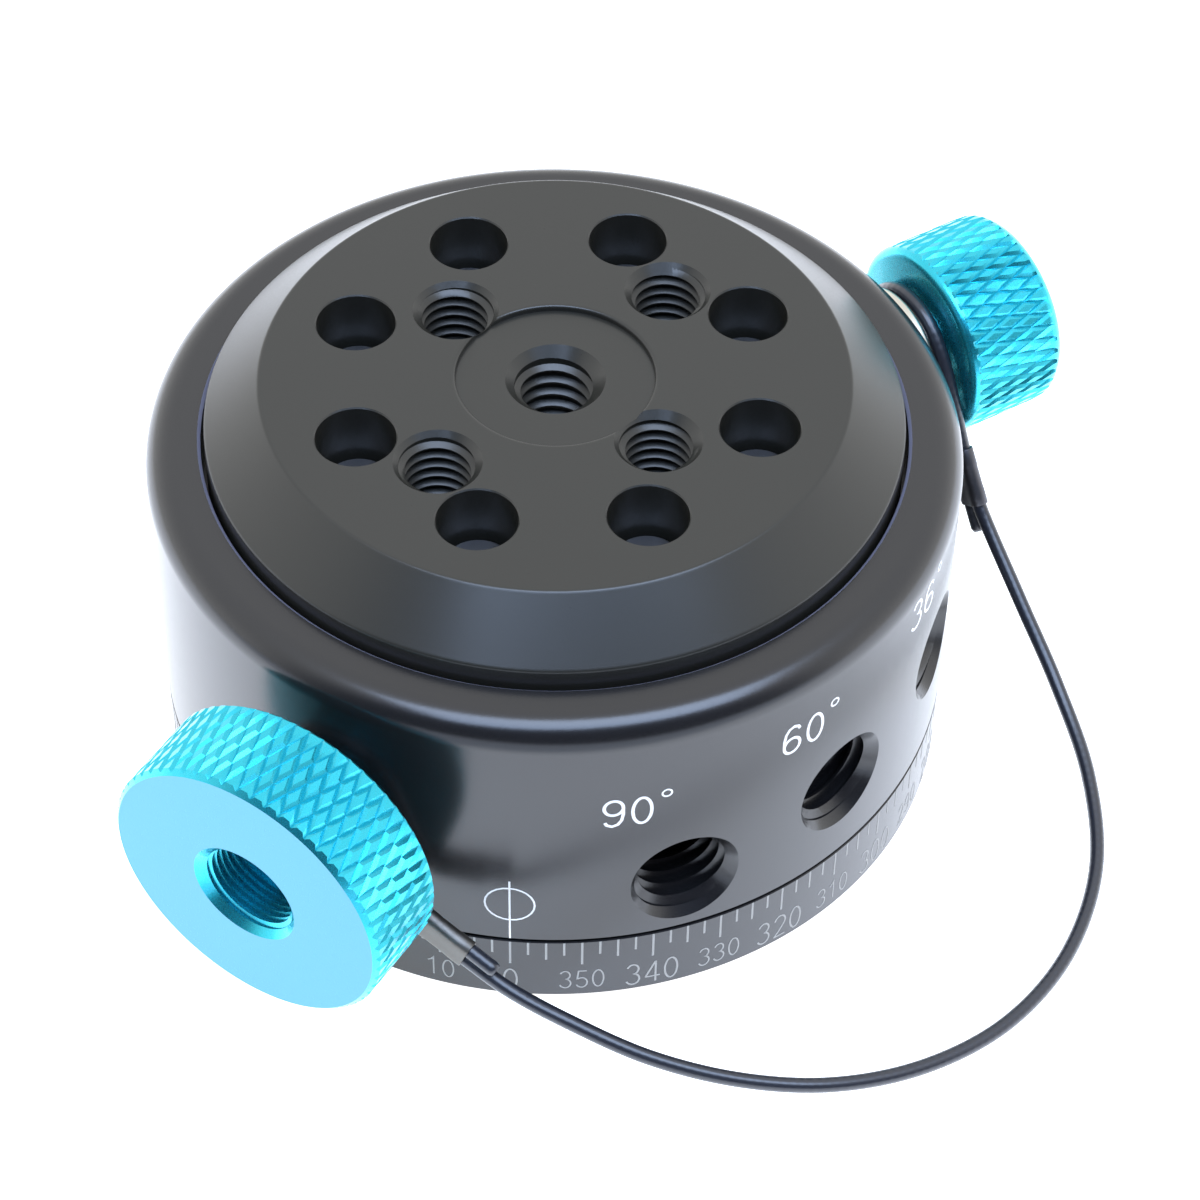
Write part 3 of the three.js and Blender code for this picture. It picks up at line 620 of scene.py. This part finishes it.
# Housing: the turning shell, turned from bar and black anodised, with a full radius on top.
# Five threaded side holes climb round it, each for its own stop angle, and one takes the lock.
housing_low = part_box("housing")[0].z
housing_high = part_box("housing")[1].z
housing_bore = 0.0253
hub_bore = 0.0099
web_bottom = 0.02575
plate_seat = 0.0279
plate_seat_radius = 0.0276
seat_chamfer = 0.00025
housing_fillet = 0.00234
stop_angles = [90, 60, 36, 24, 15]
hole_angles = [math.radians(-116.04 + index * 180 / 7) for index in range(5)]
hole_heights = [0.0132 + index * 0.0026 for index in range(5)]
side_thread = {"root": 0.004, "crest": 0.00342, "pitch": 0.00125, "ridge": 0.44}
side_chamfer = 0.0007
side_flare = 0.0016
thread_start = 0.0004
thread_steps = 40
lock_bore = 0.0032
side_hole_end = 0.034
web_hole_radius = 0.0017
web_hole_low, web_hole_high = 0.0247, 0.0289
plate_screw_circle = 0.0166
plate_screw_angle = math.radians(-19.7)


def thread(root, crest, pitch, ridge, low, high):
    """The ridge of an inside thread: a trapezium wound round +Z, its foot sunk in the wall.

    The foot's half width is the ridge's share of the pitch, and the tip is a sixth of it.
    """
    shape = bmesh.new()
    sink = 0.0001
    foot, tip = pitch * ridge, pitch * ridge / 6
    section = [(root + sink, -foot), (crest, -tip), (crest, tip), (root + sink, foot)]
    verts = [shape.verts.new((radius, 0, low + height)) for radius, height in section]
    edges = [shape.edges.new((verts[i], verts[(i + 1) % 4])) for i in range(4)]
    turns = (high - low) / pitch
    count = round(turns * thread_steps)
    bmesh.ops.spin(
        shape, geom=verts + edges, cent=(0, 0, 0), axis=(0, 0, 1),
        dvec=(0, 0, (high - low) / count), angle=2 * math.pi * turns, steps=count,
    )
    bmesh.ops.holes_fill(shape, edges=[edge for edge in shape.edges if edge.is_boundary])
    bmesh.ops.recalc_face_normals(shape, faces=shape.faces)
    return shape


def mouthed_thread(root, crest, pitch, ridge, low, mouth, chamfer):
    """A thread's ridge up to the mouth of its hole, where the hole's chamfer cuts it away."""
    wide, past = root + chamfer, 2 * pitch
    cone = turned([(0, mouth - wide), (wide + past, mouth + past), (0, mouth + past)], 72)
    return carved(thread(root, crest, pitch, ridge, low, mouth + pitch / 2), [cone])


housing_profile = [
    (hub_bore, web_bottom), (housing_bore, web_bottom), (housing_bore, housing_low),
    (body_radius - edge_break, housing_low), (body_radius, housing_low + edge_break),
    (body_radius, housing_high), (plate_seat_radius + seat_chamfer, housing_high),
    (plate_seat_radius, housing_high - seat_chamfer), (plate_seat_radius, plate_seat),
    (hub_bore, plate_seat),
]
hole_inside = housing_bore - cut_past
side_hole = [
    (0, hole_inside), (side_thread["root"], hole_inside),
    (side_thread["root"], body_radius - side_chamfer),
    (side_thread["root"] + side_flare, body_radius + cut_past), (0, body_radius + cut_past),
]
lock_hole = [
    (0, hole_inside), (lock_bore, hole_inside), (lock_bore, side_hole_end), (0, side_hole_end),
]
web_hole = [
    (0, web_hole_low), (web_hole_radius, web_hole_low), (web_hole_radius, web_hole_high),
    (0, web_hole_high),
]
plate_screw_places = [
    around(plate_screw_circle, plate_screw_angle + index * math.pi / 4) for index in range(8)
]
housing_cutters = [
    moved(turned(side_hole, 72), outwards(angle, height))
    for angle, height in zip(hole_angles, hole_heights)
]
housing_cutters.append(moved(turned(lock_hole, 48), outwards(lock_angle, lock_height)))
housing_cutters += [moved(turned(web_hole, 24), place) for place in plate_screw_places]
housing_shape = carved(turned(housing_profile, fine_steps, {5: housing_fillet}), housing_cutters)
side_ridge = dict(side_thread, low=housing_bore + thread_start, mouth=body_radius)
housing_threads = [
    moved(mouthed_thread(**side_ridge, chamfer=side_chamfer), outwards(angle, height))
    for angle, height in zip(hole_angles[:4], hole_heights)
]
# Painted highlight: the faces of the seat's chamfer get a lighter grey finish, which stands in for
# the thin line of light along that edge.
for face in housing_shape.faces:
    middle = face.calc_center_median()
    in_height = abs(middle.z - housing_high + seat_chamfer / 2) < seat_chamfer / 3
    in_radius = math.hypot(middle.x, middle.y) < plate_seat_radius + seat_chamfer
    if in_height and in_radius and 0.5 < face.normal.z < 0.9:
        face.material_index = 1
housing_piece = finish_piece(
    gathered([housing_shape, *housing_threads]), "turned_housing", "housing",
    black_anodised, ["housing"],
)
# The painted highlight's finish: a lighter, rough grey in place of the black anodising on the
# seat's chamfer.
seat_chamfer_painted_highlight = new_finish("seat_chamfer_painted_highlight", (0.18, 0.18, 0.24), 0, 0.5, (0.0002, 0.000002, 0.4, 0.5))
housing_piece.data.materials.append(seat_chamfer_painted_highlight)

# Stop labels and index mark: white, marked by laser on the housing.
# Each label gives the degrees of its hole's stops, and the index line runs through a ring.
stop_label = {"height": 0.0032, "width": 1.22, "pen": 0.00026}
label_turn = math.radians(8.5)
label_rises = [0.0077, 0.0077, 0.0077, -0.0094, -0.0094]
degree_ring, degree_pen = 0.00037, 0.00015
degree_shift, degree_rise = 0.00295, 0.0031
index_ring = 0.00192
index_ring_height = 0.01185
index_line_top = 0.0146
index_pen = 0.00015

labels = []
for stop, angle, height, rise in zip(stop_angles, hole_angles, hole_heights, label_rises):
    turn = angle - label_turn
    labels += written(str(stop), turn, height + rise, **stop_label)
    ring = pen_line(arc(degree_shift, degree_rise, degree_ring, degree_ring, 0, 360), degree_pen)
    labels.append(wrapped(ring, body_radius, turn, height + rise))
ring = pen_line(arc(0, index_ring_height, index_ring, index_ring, 0, 360), index_pen)
labels.append(wrapped(ring, body_radius, index_angle, 0))
index_line = pen_line([(0, housing_low + edge_break), (0, index_line_top)], index_pen)
labels.append(wrapped(index_line, body_radius, index_angle, 0))
label_white = new_finish("label_white", (0.8, 0.8, 0.79), 0, 0.6, (0.00009, 0.000003, 0.5, 0.7))
finish_piece(gathered(labels), "stop_labels", "housing", label_white)

# Top plate: a bevelled disc screwed down in the housing's seat, with a quarter inch thread.
# Its four M6 threads and eight counterbores are cut after turning, then it is anodised.
plate_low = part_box("top_plate")[0].z
plate_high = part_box("top_plate")[1].z
plate_radius = 0.02728
plate_face_radius = 0.02284
plate_bevel_low = 0.0332
recess_radius = 0.0077
recess_depth = 0.0005
camera_thread = {"root": 0.003175, "crest": 0.0027, "pitch": 0.00127, "ridge": 0.3}
plate_thread = {"root": 0.003, "crest": 0.00252, "pitch": 0.001, "ridge": 0.34}
thread_mouth = 0.0004
camera_mouth = 0.0007
counterbore_radius = 0.0031
counterbore_break = 0.0001
head_seat = plate_high - 0.0079
recess_floor = plate_high - recess_depth
plate_edge = 0.00012
plate_round = 0.00015
recess_edge = 0.00024
thread_places = [(0.013, 2.9), (0.01065, 92.8), (0.013, 182.9), (0.01065, 272.8)]

plate_profile = [
    (camera_thread["root"], plate_low), (plate_radius, plate_low), (plate_radius, plate_bevel_low),
    (plate_face_radius, plate_high), (recess_radius, plate_high), (recess_radius, recess_floor),
    (camera_thread["root"] + camera_mouth, recess_floor),
    (camera_thread["root"], recess_floor - camera_mouth),
]
counterbore = [
    (0, plate_low - cut_past), (web_hole_radius, plate_low - cut_past),
    (web_hole_radius, head_seat), (counterbore_radius, head_seat),
    (counterbore_radius, plate_high - counterbore_break),
    (counterbore_radius + counterbore_break + cut_past, plate_high + cut_past),
    (0, plate_high + cut_past),
]
tapped_hole = [
    (0, plate_low - cut_past), (plate_thread["root"], plate_low - cut_past),
    (plate_thread["root"], plate_high - thread_mouth),
    (plate_thread["root"] + thread_mouth + cut_past, plate_high + cut_past),
    (0, plate_high + cut_past),
]
tapped_places = [around(circle, math.radians(angle)) for circle, angle in thread_places]
plate_cutters = [moved(turned(counterbore, 64), place) for place in plate_screw_places]
plate_cutters += [moved(turned(tapped_hole, 64), place) for place in tapped_places]
plate_shape = carved(
    turned(plate_profile, fine_steps, {2: plate_round, 3: plate_edge, 4: recess_edge}),
    plate_cutters,
)
plate_ridge = dict(plate_thread, low=plate_low + thread_start, mouth=plate_high)
plate_threads = [
    moved(mouthed_thread(**plate_ridge, chamfer=thread_mouth), place) for place in tapped_places
]
camera_ridge = dict(camera_thread, low=plate_low + thread_start, mouth=recess_floor)
plate_threads.append(mouthed_thread(**camera_ridge, chamfer=camera_mouth))
plate_anodised = new_finish(
    "plate_anodised", (0.018, 0.0175, 0.0145), 0, 0.32, (0.0002, 0.0000025, 0.25, 0.35),
    {"IOR": 1.5},
)
finish_piece(
    gathered([plate_shape, *plate_threads]), "bevelled_plate", "housing",
    plate_anodised, ["top_plate"],
)

# Plate screws: eight steel cap screws at the bottom of their counterbores, with hexagon sockets.
# Their heads are flat on top with a small chamfer, and each socket stands at its own angle.
cap_radius = 0.00275
cap_high = plate_high - 0.0049
cap_low = cap_high - 0.003
cap_chamfer = 0.0002
cap_shank = 0.0015
cap_turn = 0.37
socket_across = 0.0025
socket_depth = 0.0015
screw_tip = cap_low - 0.005
tip_radius = 0.0012
screw_steel = new_finish("screw_steel", (0.2, 0.2, 0.21), 1, 0.38, (0.00015, 0.000004, 0.3, 0.46))


def hex_socket(across, low, high):
    """A hexagonal cutter between two heights, as wide across its flats as the key."""
    radius = across / math.sqrt(3)
    shape = bmesh.new()
    bmesh.ops.create_cone(
        shape, cap_ends=True, segments=6, radius1=radius, radius2=radius, depth=high - low,
    )
    return moved(shape, Matrix.Translation((0, 0, (low + high) / 2)))


cap_profile = [
    (0, screw_tip), (tip_radius, screw_tip), (cap_shank, screw_tip + cap_shank - tip_radius),
    (cap_shank, cap_low), (cap_radius, cap_low), (cap_radius, cap_high - cap_chamfer),
    (cap_radius - cap_chamfer, cap_high), (0, cap_high),
]
for index, place in enumerate(plate_screw_places):
    socket = hex_socket(socket_across, cap_high - socket_depth, cap_high + cut_past)
    cap_screw = carved(turned(cap_profile, 48), [socket])
    moved(cap_screw, place @ Matrix.Rotation(cap_turn * index, 4, "Z"))
    finish_piece(
        cap_screw, f"cap_screw_{index + 1}", "housing", screw_steel,
        [f"plate_screw_{index + 1}"],
    )

# Lock knob: bright blue anodised, diamond knurled, with a finely threaded 8 mm socket.
# The knurl is rolled in, so flat lands stand between V grooves that run out on the chamfers.
knob_radius = 0.01184
knob_inner, knob_outer = 0.03534, 0.04306
knob_chamfer = 0.00042
neck_radius = 0.0042
neck_inner = 0.0323
knob_socket_depth = 0.005
lock_knurl = {"count": 60, "length": 0.0034}
groove_depth = 0.00023
groove_width = 0.00026
knob_thread = {"root": 0.004, "crest": 0.00368, "pitch": 0.0006, "ridge": 0.44}
back_chamfer = 0.00025
knob_stud_bore = 0.0031
knob_mouth = 0.0005
stud_end = 0.0371
socket_point = 0.0004


def knurled_band(radius, low, high, count, length):
    """Diamond lands round +Z between two heights, cut off square where the chamfers start.

    A grid is bent into a tube at the depth of the grooves. Every other crossing is dissolved,
    which leaves diamonds, and each diamond is then inset and raised to make its land.
    """
    shape = bmesh.new()
    rows = 2 * math.ceil((high - low) / length + 1)
    middle = (low + high) / 2
    bmesh.ops.create_grid(shape, x_segments=2 * count, y_segments=rows, size=0.5)
    for vert in shape.verts:
        turn, rise = 2 * math.pi * vert.co.x, vert.co.y * rows * length / 2
        floor = radius - groove_depth
        vert.co = (floor * math.cos(turn), floor * math.sin(turn), middle + rise)
    bmesh.ops.remove_doubles(shape, verts=shape.verts, dist=1e-7)

    def odd_crossing(vert):
        column = round(math.atan2(vert.co.y, vert.co.x) * count / math.pi)
        return (column + round((vert.co.z - middle) / (length / 2))) % 2 == 1

    for face in shape.faces[:]:
        bmesh.utils.face_split(face, *[vert for vert in face.verts if not odd_crossing(vert)])
    crossings = [vert for vert in shape.verts if odd_crossing(vert) and not vert.is_boundary]
    bmesh.ops.dissolve_verts(shape, verts=crossings)
    bmesh.ops.recalc_face_normals(shape, faces=shape.faces)
    if shape.faces[0].normal.dot(shape.faces[0].calc_center_median() * Vector((1, 1, 0))) < 0:
        bmesh.ops.reverse_faces(shape, faces=shape.faces)
    bmesh.ops.inset_individual(
        shape, faces=shape.faces, thickness=groove_width, depth=groove_depth, use_even_offset=True,
    )
    for edge_height, side in ((low, -1), (high, 1)):
        everything = shape.verts[:] + shape.edges[:] + shape.faces[:]
        bmesh.ops.bisect_plane(
            shape, geom=everything, dist=1e-8, plane_co=(0, 0, edge_height), plane_no=(0, 0, side),
            clear_outer=True,
        )
    for vert in shape.verts:
        drop = radius - math.hypot(vert.co.x, vert.co.y)
        if abs(vert.co.z - low) < 1e-7:
            vert.co.z -= drop
        elif abs(vert.co.z - high) < 1e-7:
            vert.co.z += drop
    bmesh.ops.remove_doubles(shape, verts=shape.verts, dist=1e-6)
    return shape


def closed_ends(shape, below, above):
    """Carries both open rims of a band on through rings of radius and height, to the axis."""
    middle = sum(vert.co.z for vert in shape.verts) / len(shape.verts)
    rims = [edge for edge in shape.edges if edge.is_boundary]
    for side, stations in ((-1, below), (1, above)):
        rim = [edge for edge in rims if (edge.verts[0].co.z - middle) * side > 0]
        for radius, height in stations:
            made = bmesh.ops.extrude_edge_only(shape, edges=rim)["geom"]
            rim = [item for item in made if isinstance(item, bmesh.types.BMEdge)]
            for vert in [item for item in made if isinstance(item, bmesh.types.BMVert)]:
                flat = Vector((vert.co.x, vert.co.y, 0)).normalized() * radius
                vert.co = (flat.x, flat.y, height)
        seam = list({vert for edge in rim for vert in edge.verts})
        bmesh.ops.remove_doubles(shape, verts=seam, dist=1e-7)
    bmesh.ops.recalc_face_normals(shape, faces=shape.faces)
    return shape


socket_floor = knob_outer - knob_socket_depth
lock_shape = closed_ends(
    knurled_band(knob_radius, knob_inner + back_chamfer, knob_outer - knob_chamfer, **lock_knurl),
    [
        (knob_radius - back_chamfer, knob_inner), (neck_radius, knob_inner),
        (neck_radius, neck_inner), (knob_stud_bore, neck_inner), (knob_stud_bore, stud_end),
        (0, stud_end),
    ],
    [
        (knob_radius - knob_chamfer, knob_outer), (knob_thread["root"] + knob_mouth, knob_outer),
        (knob_thread["root"], knob_outer - knob_mouth), (knob_thread["root"], socket_floor),
        (0, socket_floor - socket_point),
    ],
)
lock_ridge = mouthed_thread(
    **knob_thread, low=socket_floor + thread_start, mouth=knob_outer, chamfer=knob_mouth,
)
blue_anodised = new_finish(
    "blue_anodised", (0.028, 0.48, 0.6), 0.9, 0.28, (0.00014, 0.0000025, 0.22, 0.34),
    {"Coat Weight": 0.3},
)
# Painted shade: the knob's flat face gets a darker, greyer copy of the same blue anodising, which
# tones down its bright reflection of the floor.
blue_face_painted_shade = new_finish("blue_face_painted_shade", (0.078, 0.27, 0.37), 0.9, 0.3, (0.00014, 0.000002, 0.24, 0.34))
for face in lock_shape.faces:
    if face.normal.z > 0.99 and face.calc_center_median().z > knob_outer - back_chamfer:
        face.material_index = 1
lock_piece = finish_piece(
    moved(gathered([lock_shape, lock_ridge]), outwards(lock_angle, lock_height)),
    "knurled_lock_knob", "lock_knob", blue_anodised, ["lock_knob"], 24,
)
lock_piece.data.materials.append(blue_face_painted_shade)

# Plunger knob: the same blue finish on a longer and slimmer knob with full round edges.
# It is bored for the pin from the back, and a grub screw from below holds it.
plunger_radius = 0.00825
plunger_inner, plunger_outer = 0.0352, 0.04447
plunger_round = 0.0008
outer_round = 0.0012
plunger_knurl = {"count": 46, "length": 0.0036}
pin_bore = 0.0017
pin_bore_end = 0.0406
round_steps = 5


def round_edge(radius, height, side, size):
    """Ring stations of a quarter round from a knob's side to its face."""
    stations = []
    for step in range(1, round_steps + 1):
        turn = step * math.pi / 2 / round_steps
        drop, rise = size * (1 - math.cos(turn)), size * math.sin(turn)
        stations.append((radius - drop, height + side * rise))
    return stations


plunger_low = plunger_inner + plunger_round
plunger_high = plunger_outer - outer_round
plunger_shape = closed_ends(
    knurled_band(plunger_radius, plunger_low, plunger_high, **plunger_knurl),
    [
        *round_edge(plunger_radius, plunger_low, -1, plunger_round),
        (pin_bore, plunger_inner), (pin_bore, pin_bore_end), (0, pin_bore_end),
    ],
    [*round_edge(plunger_radius, plunger_high, 1, outer_round), (0, plunger_outer)],
)
finish_piece(
    moved(plunger_shape, outwards(plunger_angle, plunger_height)), "knurled_plunger_knob",
    "index_pin", blue_anodised, ["plunger_knob"], 24,
)

# Plunger sleeve: bright turned steel, screwed into its side hole up to the flange.
# A plain neck carries the cable's loop, and the bore holds the sprung pin.
sleeve_inner, sleeve_outer = 0.0258, 0.03495
sleeve_end = 0.0034
sleeve_radius = 0.0036
sleeve_chamfer = 0.0004
sleeve_chamber = 0.0027
sleeve_lip = 0.0342
flange_inner, flange_outer = 0.0321, 0.0334
flange_radius = 0.0056
flange_round = 0.00025
neck_round = 0.0003
pin_slide = 0.0017
sleeve_profile = [
    (sleeve_chamber, sleeve_inner), (sleeve_end, sleeve_inner),
    (sleeve_radius, sleeve_inner + sleeve_chamfer), (sleeve_radius, flange_inner),
    (flange_radius, flange_inner), (flange_radius, flange_outer), (neck_radius, flange_outer),
    (neck_radius, sleeve_outer), (pin_slide, sleeve_outer), (pin_slide, sleeve_lip),
    (sleeve_chamber, sleeve_lip),
]
sleeve_shape = turned(sleeve_profile, 96, {4: flange_round, 5: flange_round, 7: neck_round})
pale_steel = new_finish("pale_steel", (0.62, 0.59, 0.52), 1, 0.3, (0.0002, 0.000004, 0.22, 0.4))
finish_piece(
    moved(sleeve_shape, outwards(plunger_angle, plunger_height)), "turned_sleeve", "housing",
    pale_steel, ["plunger_sleeve"],
)

# Plunger spring: thin steel wire wound with a closed coil at each end, inside the sleeve.
# It sits between the pin's head and the sleeve's lip.
spring_wire = 0.0002
spring_coil = 0.00215
spring_inner, spring_outer = 0.0271, 0.0341
closed_turns = 1
open_turns = 4
closed_rise = 0.00042
turn_steps = 40

spring_shape = bmesh.new()
bmesh.ops.create_circle(spring_shape, segments=12, radius=spring_wire)
start = Matrix.Translation((spring_coil, 0, spring_inner + spring_wire))
moved(spring_shape, start @ Matrix.Rotation(math.pi / 2, 4, "X"))
open_rise = (spring_outer - spring_inner - 2 * spring_wire - 2 * closed_rise) / open_turns
closed_coil = (closed_turns, closed_rise)
wound = spring_shape.verts[:] + spring_shape.edges[:]
for turns, rise in (closed_coil, (open_turns, open_rise), closed_coil):
    wound = bmesh.ops.spin(
        spring_shape, geom=wound, cent=(0, 0, 0), axis=(0, 0, 1), dvec=(0, 0, rise / turn_steps),
        angle=2 * math.pi * turns, steps=turns * turn_steps,
    )["geom_last"]
bmesh.ops.remove_doubles(spring_shape, verts=spring_shape.verts, dist=1e-7)
open_ends = [edge for edge in spring_shape.edges if edge.is_boundary]
bmesh.ops.holes_fill(spring_shape, edges=open_ends)
bmesh.ops.recalc_face_normals(spring_shape, faces=spring_shape.faces)
spring_place = outwards(plunger_angle, plunger_height)
spring_piece = finish_piece(
    moved(spring_shape, spring_place), "wound_spring", "housing", screw_steel,
    ["plunger_spring"], 60,
)
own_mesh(spring_piece)

# Detent drum: dark hardened steel, screwed on the base, and seen through the side holes.
# A row of drilled pits runs round it at each hole's height, and the plunger's nose fits them.
drum_low, drum_high = 0.00735, 0.02545
drum_radius = 0.0248
drum_break = 0.0002
pit_radius = 0.00115
pit_depth = 0.0007
pit_overrun = 0.001
foot_bore, foot_top = 0.0153, 0.00945
ring_bore = 0.0161
clip_groove = 0.0168
clip_low, clip_high = 0.0214, 0.0225
mouth_bore, mouth_floor = 0.019, 0.0234
drum_screw_end = 0.0124

drum_profile = [
    (foot_bore, drum_low), (drum_radius, drum_low), (drum_radius, drum_high),
    (mouth_bore, drum_high), (mouth_bore, mouth_floor), (ring_bore, mouth_floor),
    (ring_bore, clip_high), (clip_groove, clip_high), (clip_groove, clip_low),
    (ring_bore, clip_low), (ring_bore, foot_top), (foot_bore, foot_top),
]
pit_top = drum_radius + pit_overrun * pit_depth / pit_radius
pit = [(0, drum_radius - pit_depth), (pit_radius + pit_overrun, pit_top), (0, pit_top)]
drum_screw_hole = [(0, 0), (screw_bore, 0), (screw_bore, drum_screw_end), (0, drum_screw_end)]
drum_cutters = [
    moved(turned(pit, 32), outwards(angle + math.radians(stop * index), height))
    for stop, angle, height in zip(stop_angles, hole_angles, hole_heights)
    for index in range(360 // stop)
]
drum_cutters += [moved(turned(drum_screw_hole, 24), place) for place in screw_places]
drum_steel = new_finish(
    "drum_steel", (0.05, 0.05, 0.053), 0.8, 0.34, (0.0003, 0.000004, 0.28, 0.42),
)
finish_piece(
    carved(turned(drum_profile, 192, {1: drum_break, 2: drum_break}), drum_cutters), "pitted_drum",
    "base", drum_steel, ["detent_drum"], 20,
)

# Inner pieces: the nodes that stay as they are get their own metals.
# Each metal has a colour, a metallic share, a roughness and a grain.
inner_metals = {
    "bearing_steel": ((0.55, 0.55, 0.56), 1, 0.22, (0.0003, 0.000003, 0.16, 0.3)),
    "black_steel": ((0.02, 0.02, 0.021), 0.7, 0.42, (0.00016, 0.000005, 0.34, 0.52)),
    "cage_brass": ((0.55, 0.36, 0.13), 1, 0.34, (0.0002, 0.000005, 0.26, 0.44)),
    "seal_rubber": ((0.012, 0.012, 0.013), 0, 0.8, (0.0002, 0.00001, 0.7, 0.9)),
}
finish_of_slot = {slot: new_finish(slot, *values) for slot, values in inner_metals.items()}
finish_of_slot["screw_steel"] = screw_steel
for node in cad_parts.values():
    if not node.hide_render:
        finish = finish_of_slot[node.data.materials[0].name]
        node.data.materials.clear()
        node.data.materials.append(finish)

# Floor and light: a white table lit through from below, in a dim tent that is dark in front.
# One large bluish lamp hangs above the camera, and it draws the highlight on the housing's round.
floor_size = 3
floor_drop = 0.00005
floor_glow = 1.2
glow_way = (-0.8, -0.6, 0)
glow_end, glow_fade = 0.06, 0.09
lamp_azimuth, lamp_elevation = math.radians(-122), math.radians(70)
lamp_distance = 0.8
lamp_size = (0.85, 0.44)
lamp_power = 10
lamp_blue = (0.54, 0.7, 1)
front_way = (-0.707, -0.707, 0)
tent_white = (1, 1, 0.99, 1)
tent_blue = (0.76, 0.8, 0.95, 1)


def ramp(owner, source, start, end, low, high):
    """A smooth step from low to high, while a node's value goes from start to end."""
    made = add_node(owner, "ShaderNodeMapRange", interpolation_type="SMOOTHSTEP")
    entries = {"From Min": start, "From Max": end, "To Min": low, "To Max": high}
    for entry, value in entries.items():
        made.inputs[entry].default_value = value
    wire(owner, source, "Value", made, "Value")
    return made


def share_of(owner, place, socket, way):
    """How far a place or a direction goes one way."""
    dot = add_node(owner, "ShaderNodeVectorMath", operation="DOT_PRODUCT")
    dot.inputs[1].default_value = way
    wire(owner, place, socket, dot, 0)
    return dot


floor_shape = bmesh.new()
bmesh.ops.create_grid(floor_shape, x_segments=1, y_segments=1, size=floor_size)
floor = new_object("floor", new_mesh(floor_shape, "floor"))
floor.location.z = -floor_drop
floor_white = new_finish(
    "floor_white", (0.86, 0.86, 0.87), 0, 0.6, (0.01, 0.00002, 0.55, 0.65),
    {"Emission Color": (1, 1, 1, 1)},
)
floor_place = add_node(floor_white, "ShaderNodeTexCoord")
toward_front = share_of(floor_white, floor_place, "Object", glow_way)
glow = ramp(floor_white, toward_front, start=glow_end, end=glow_fade, low=floor_glow, high=0)
wire(floor_white, glow, "Result", shader_of(floor_white), "Emission Strength")
floor.data.materials.append(floor_white)

lamp_data = bpy.data.lights.new("front_box", "AREA")
lamp_data.shape = "RECTANGLE"
lamp_data.size, lamp_data.size_y = lamp_size
lamp_data.energy = lamp_power
lamp_data.color = lamp_blue
lamp = new_object("front_box", lamp_data)
lamp_away = toward(lamp_azimuth, lamp_elevation)
lamp.location = lamp_away * lamp_distance
lamp.rotation_mode = "QUATERNION"
lamp.rotation_quaternion = lamp_away.to_track_quat("Z", "Y")

tent = bpy.data.worlds.new("tent")
tent.use_nodes = True
background = tent.node_tree.nodes["Background"]
direction = add_node(tent, "ShaderNodeTexCoord")
facing_front = share_of(tent, direction, "Generated", front_way)
facing_up = share_of(tent, direction, "Generated", (0, 0, 1))
front_share = ramp(tent, facing_front, start=0.15, end=0.65, low=1, high=0.045)
height_share = ramp(tent, facing_up, start=0.1, end=0.6, low=1.65, high=1.3)
strength = add_node(tent, "ShaderNodeMath", operation="MULTIPLY")
wire(tent, front_share, "Result", strength, 0)
wire(tent, height_share, "Result", strength, 1)
wire(tent, strength, 0, background, "Strength")
tint = add_node(tent, "ShaderNodeMix", data_type="RGBA")
blue_share = ramp(tent, facing_front, start=0.2, end=0.85, low=0, high=1)
wire(tent, blue_share, "Result", tint, "Factor")
tint.inputs["A"].default_value = tent_white
tint.inputs["B"].default_value = tent_blue
wire(tent, tint, "Result", background, "Color")
bpy.context.scene.world = tent
bpy.context.scene.view_settings.view_transform = "Standard"
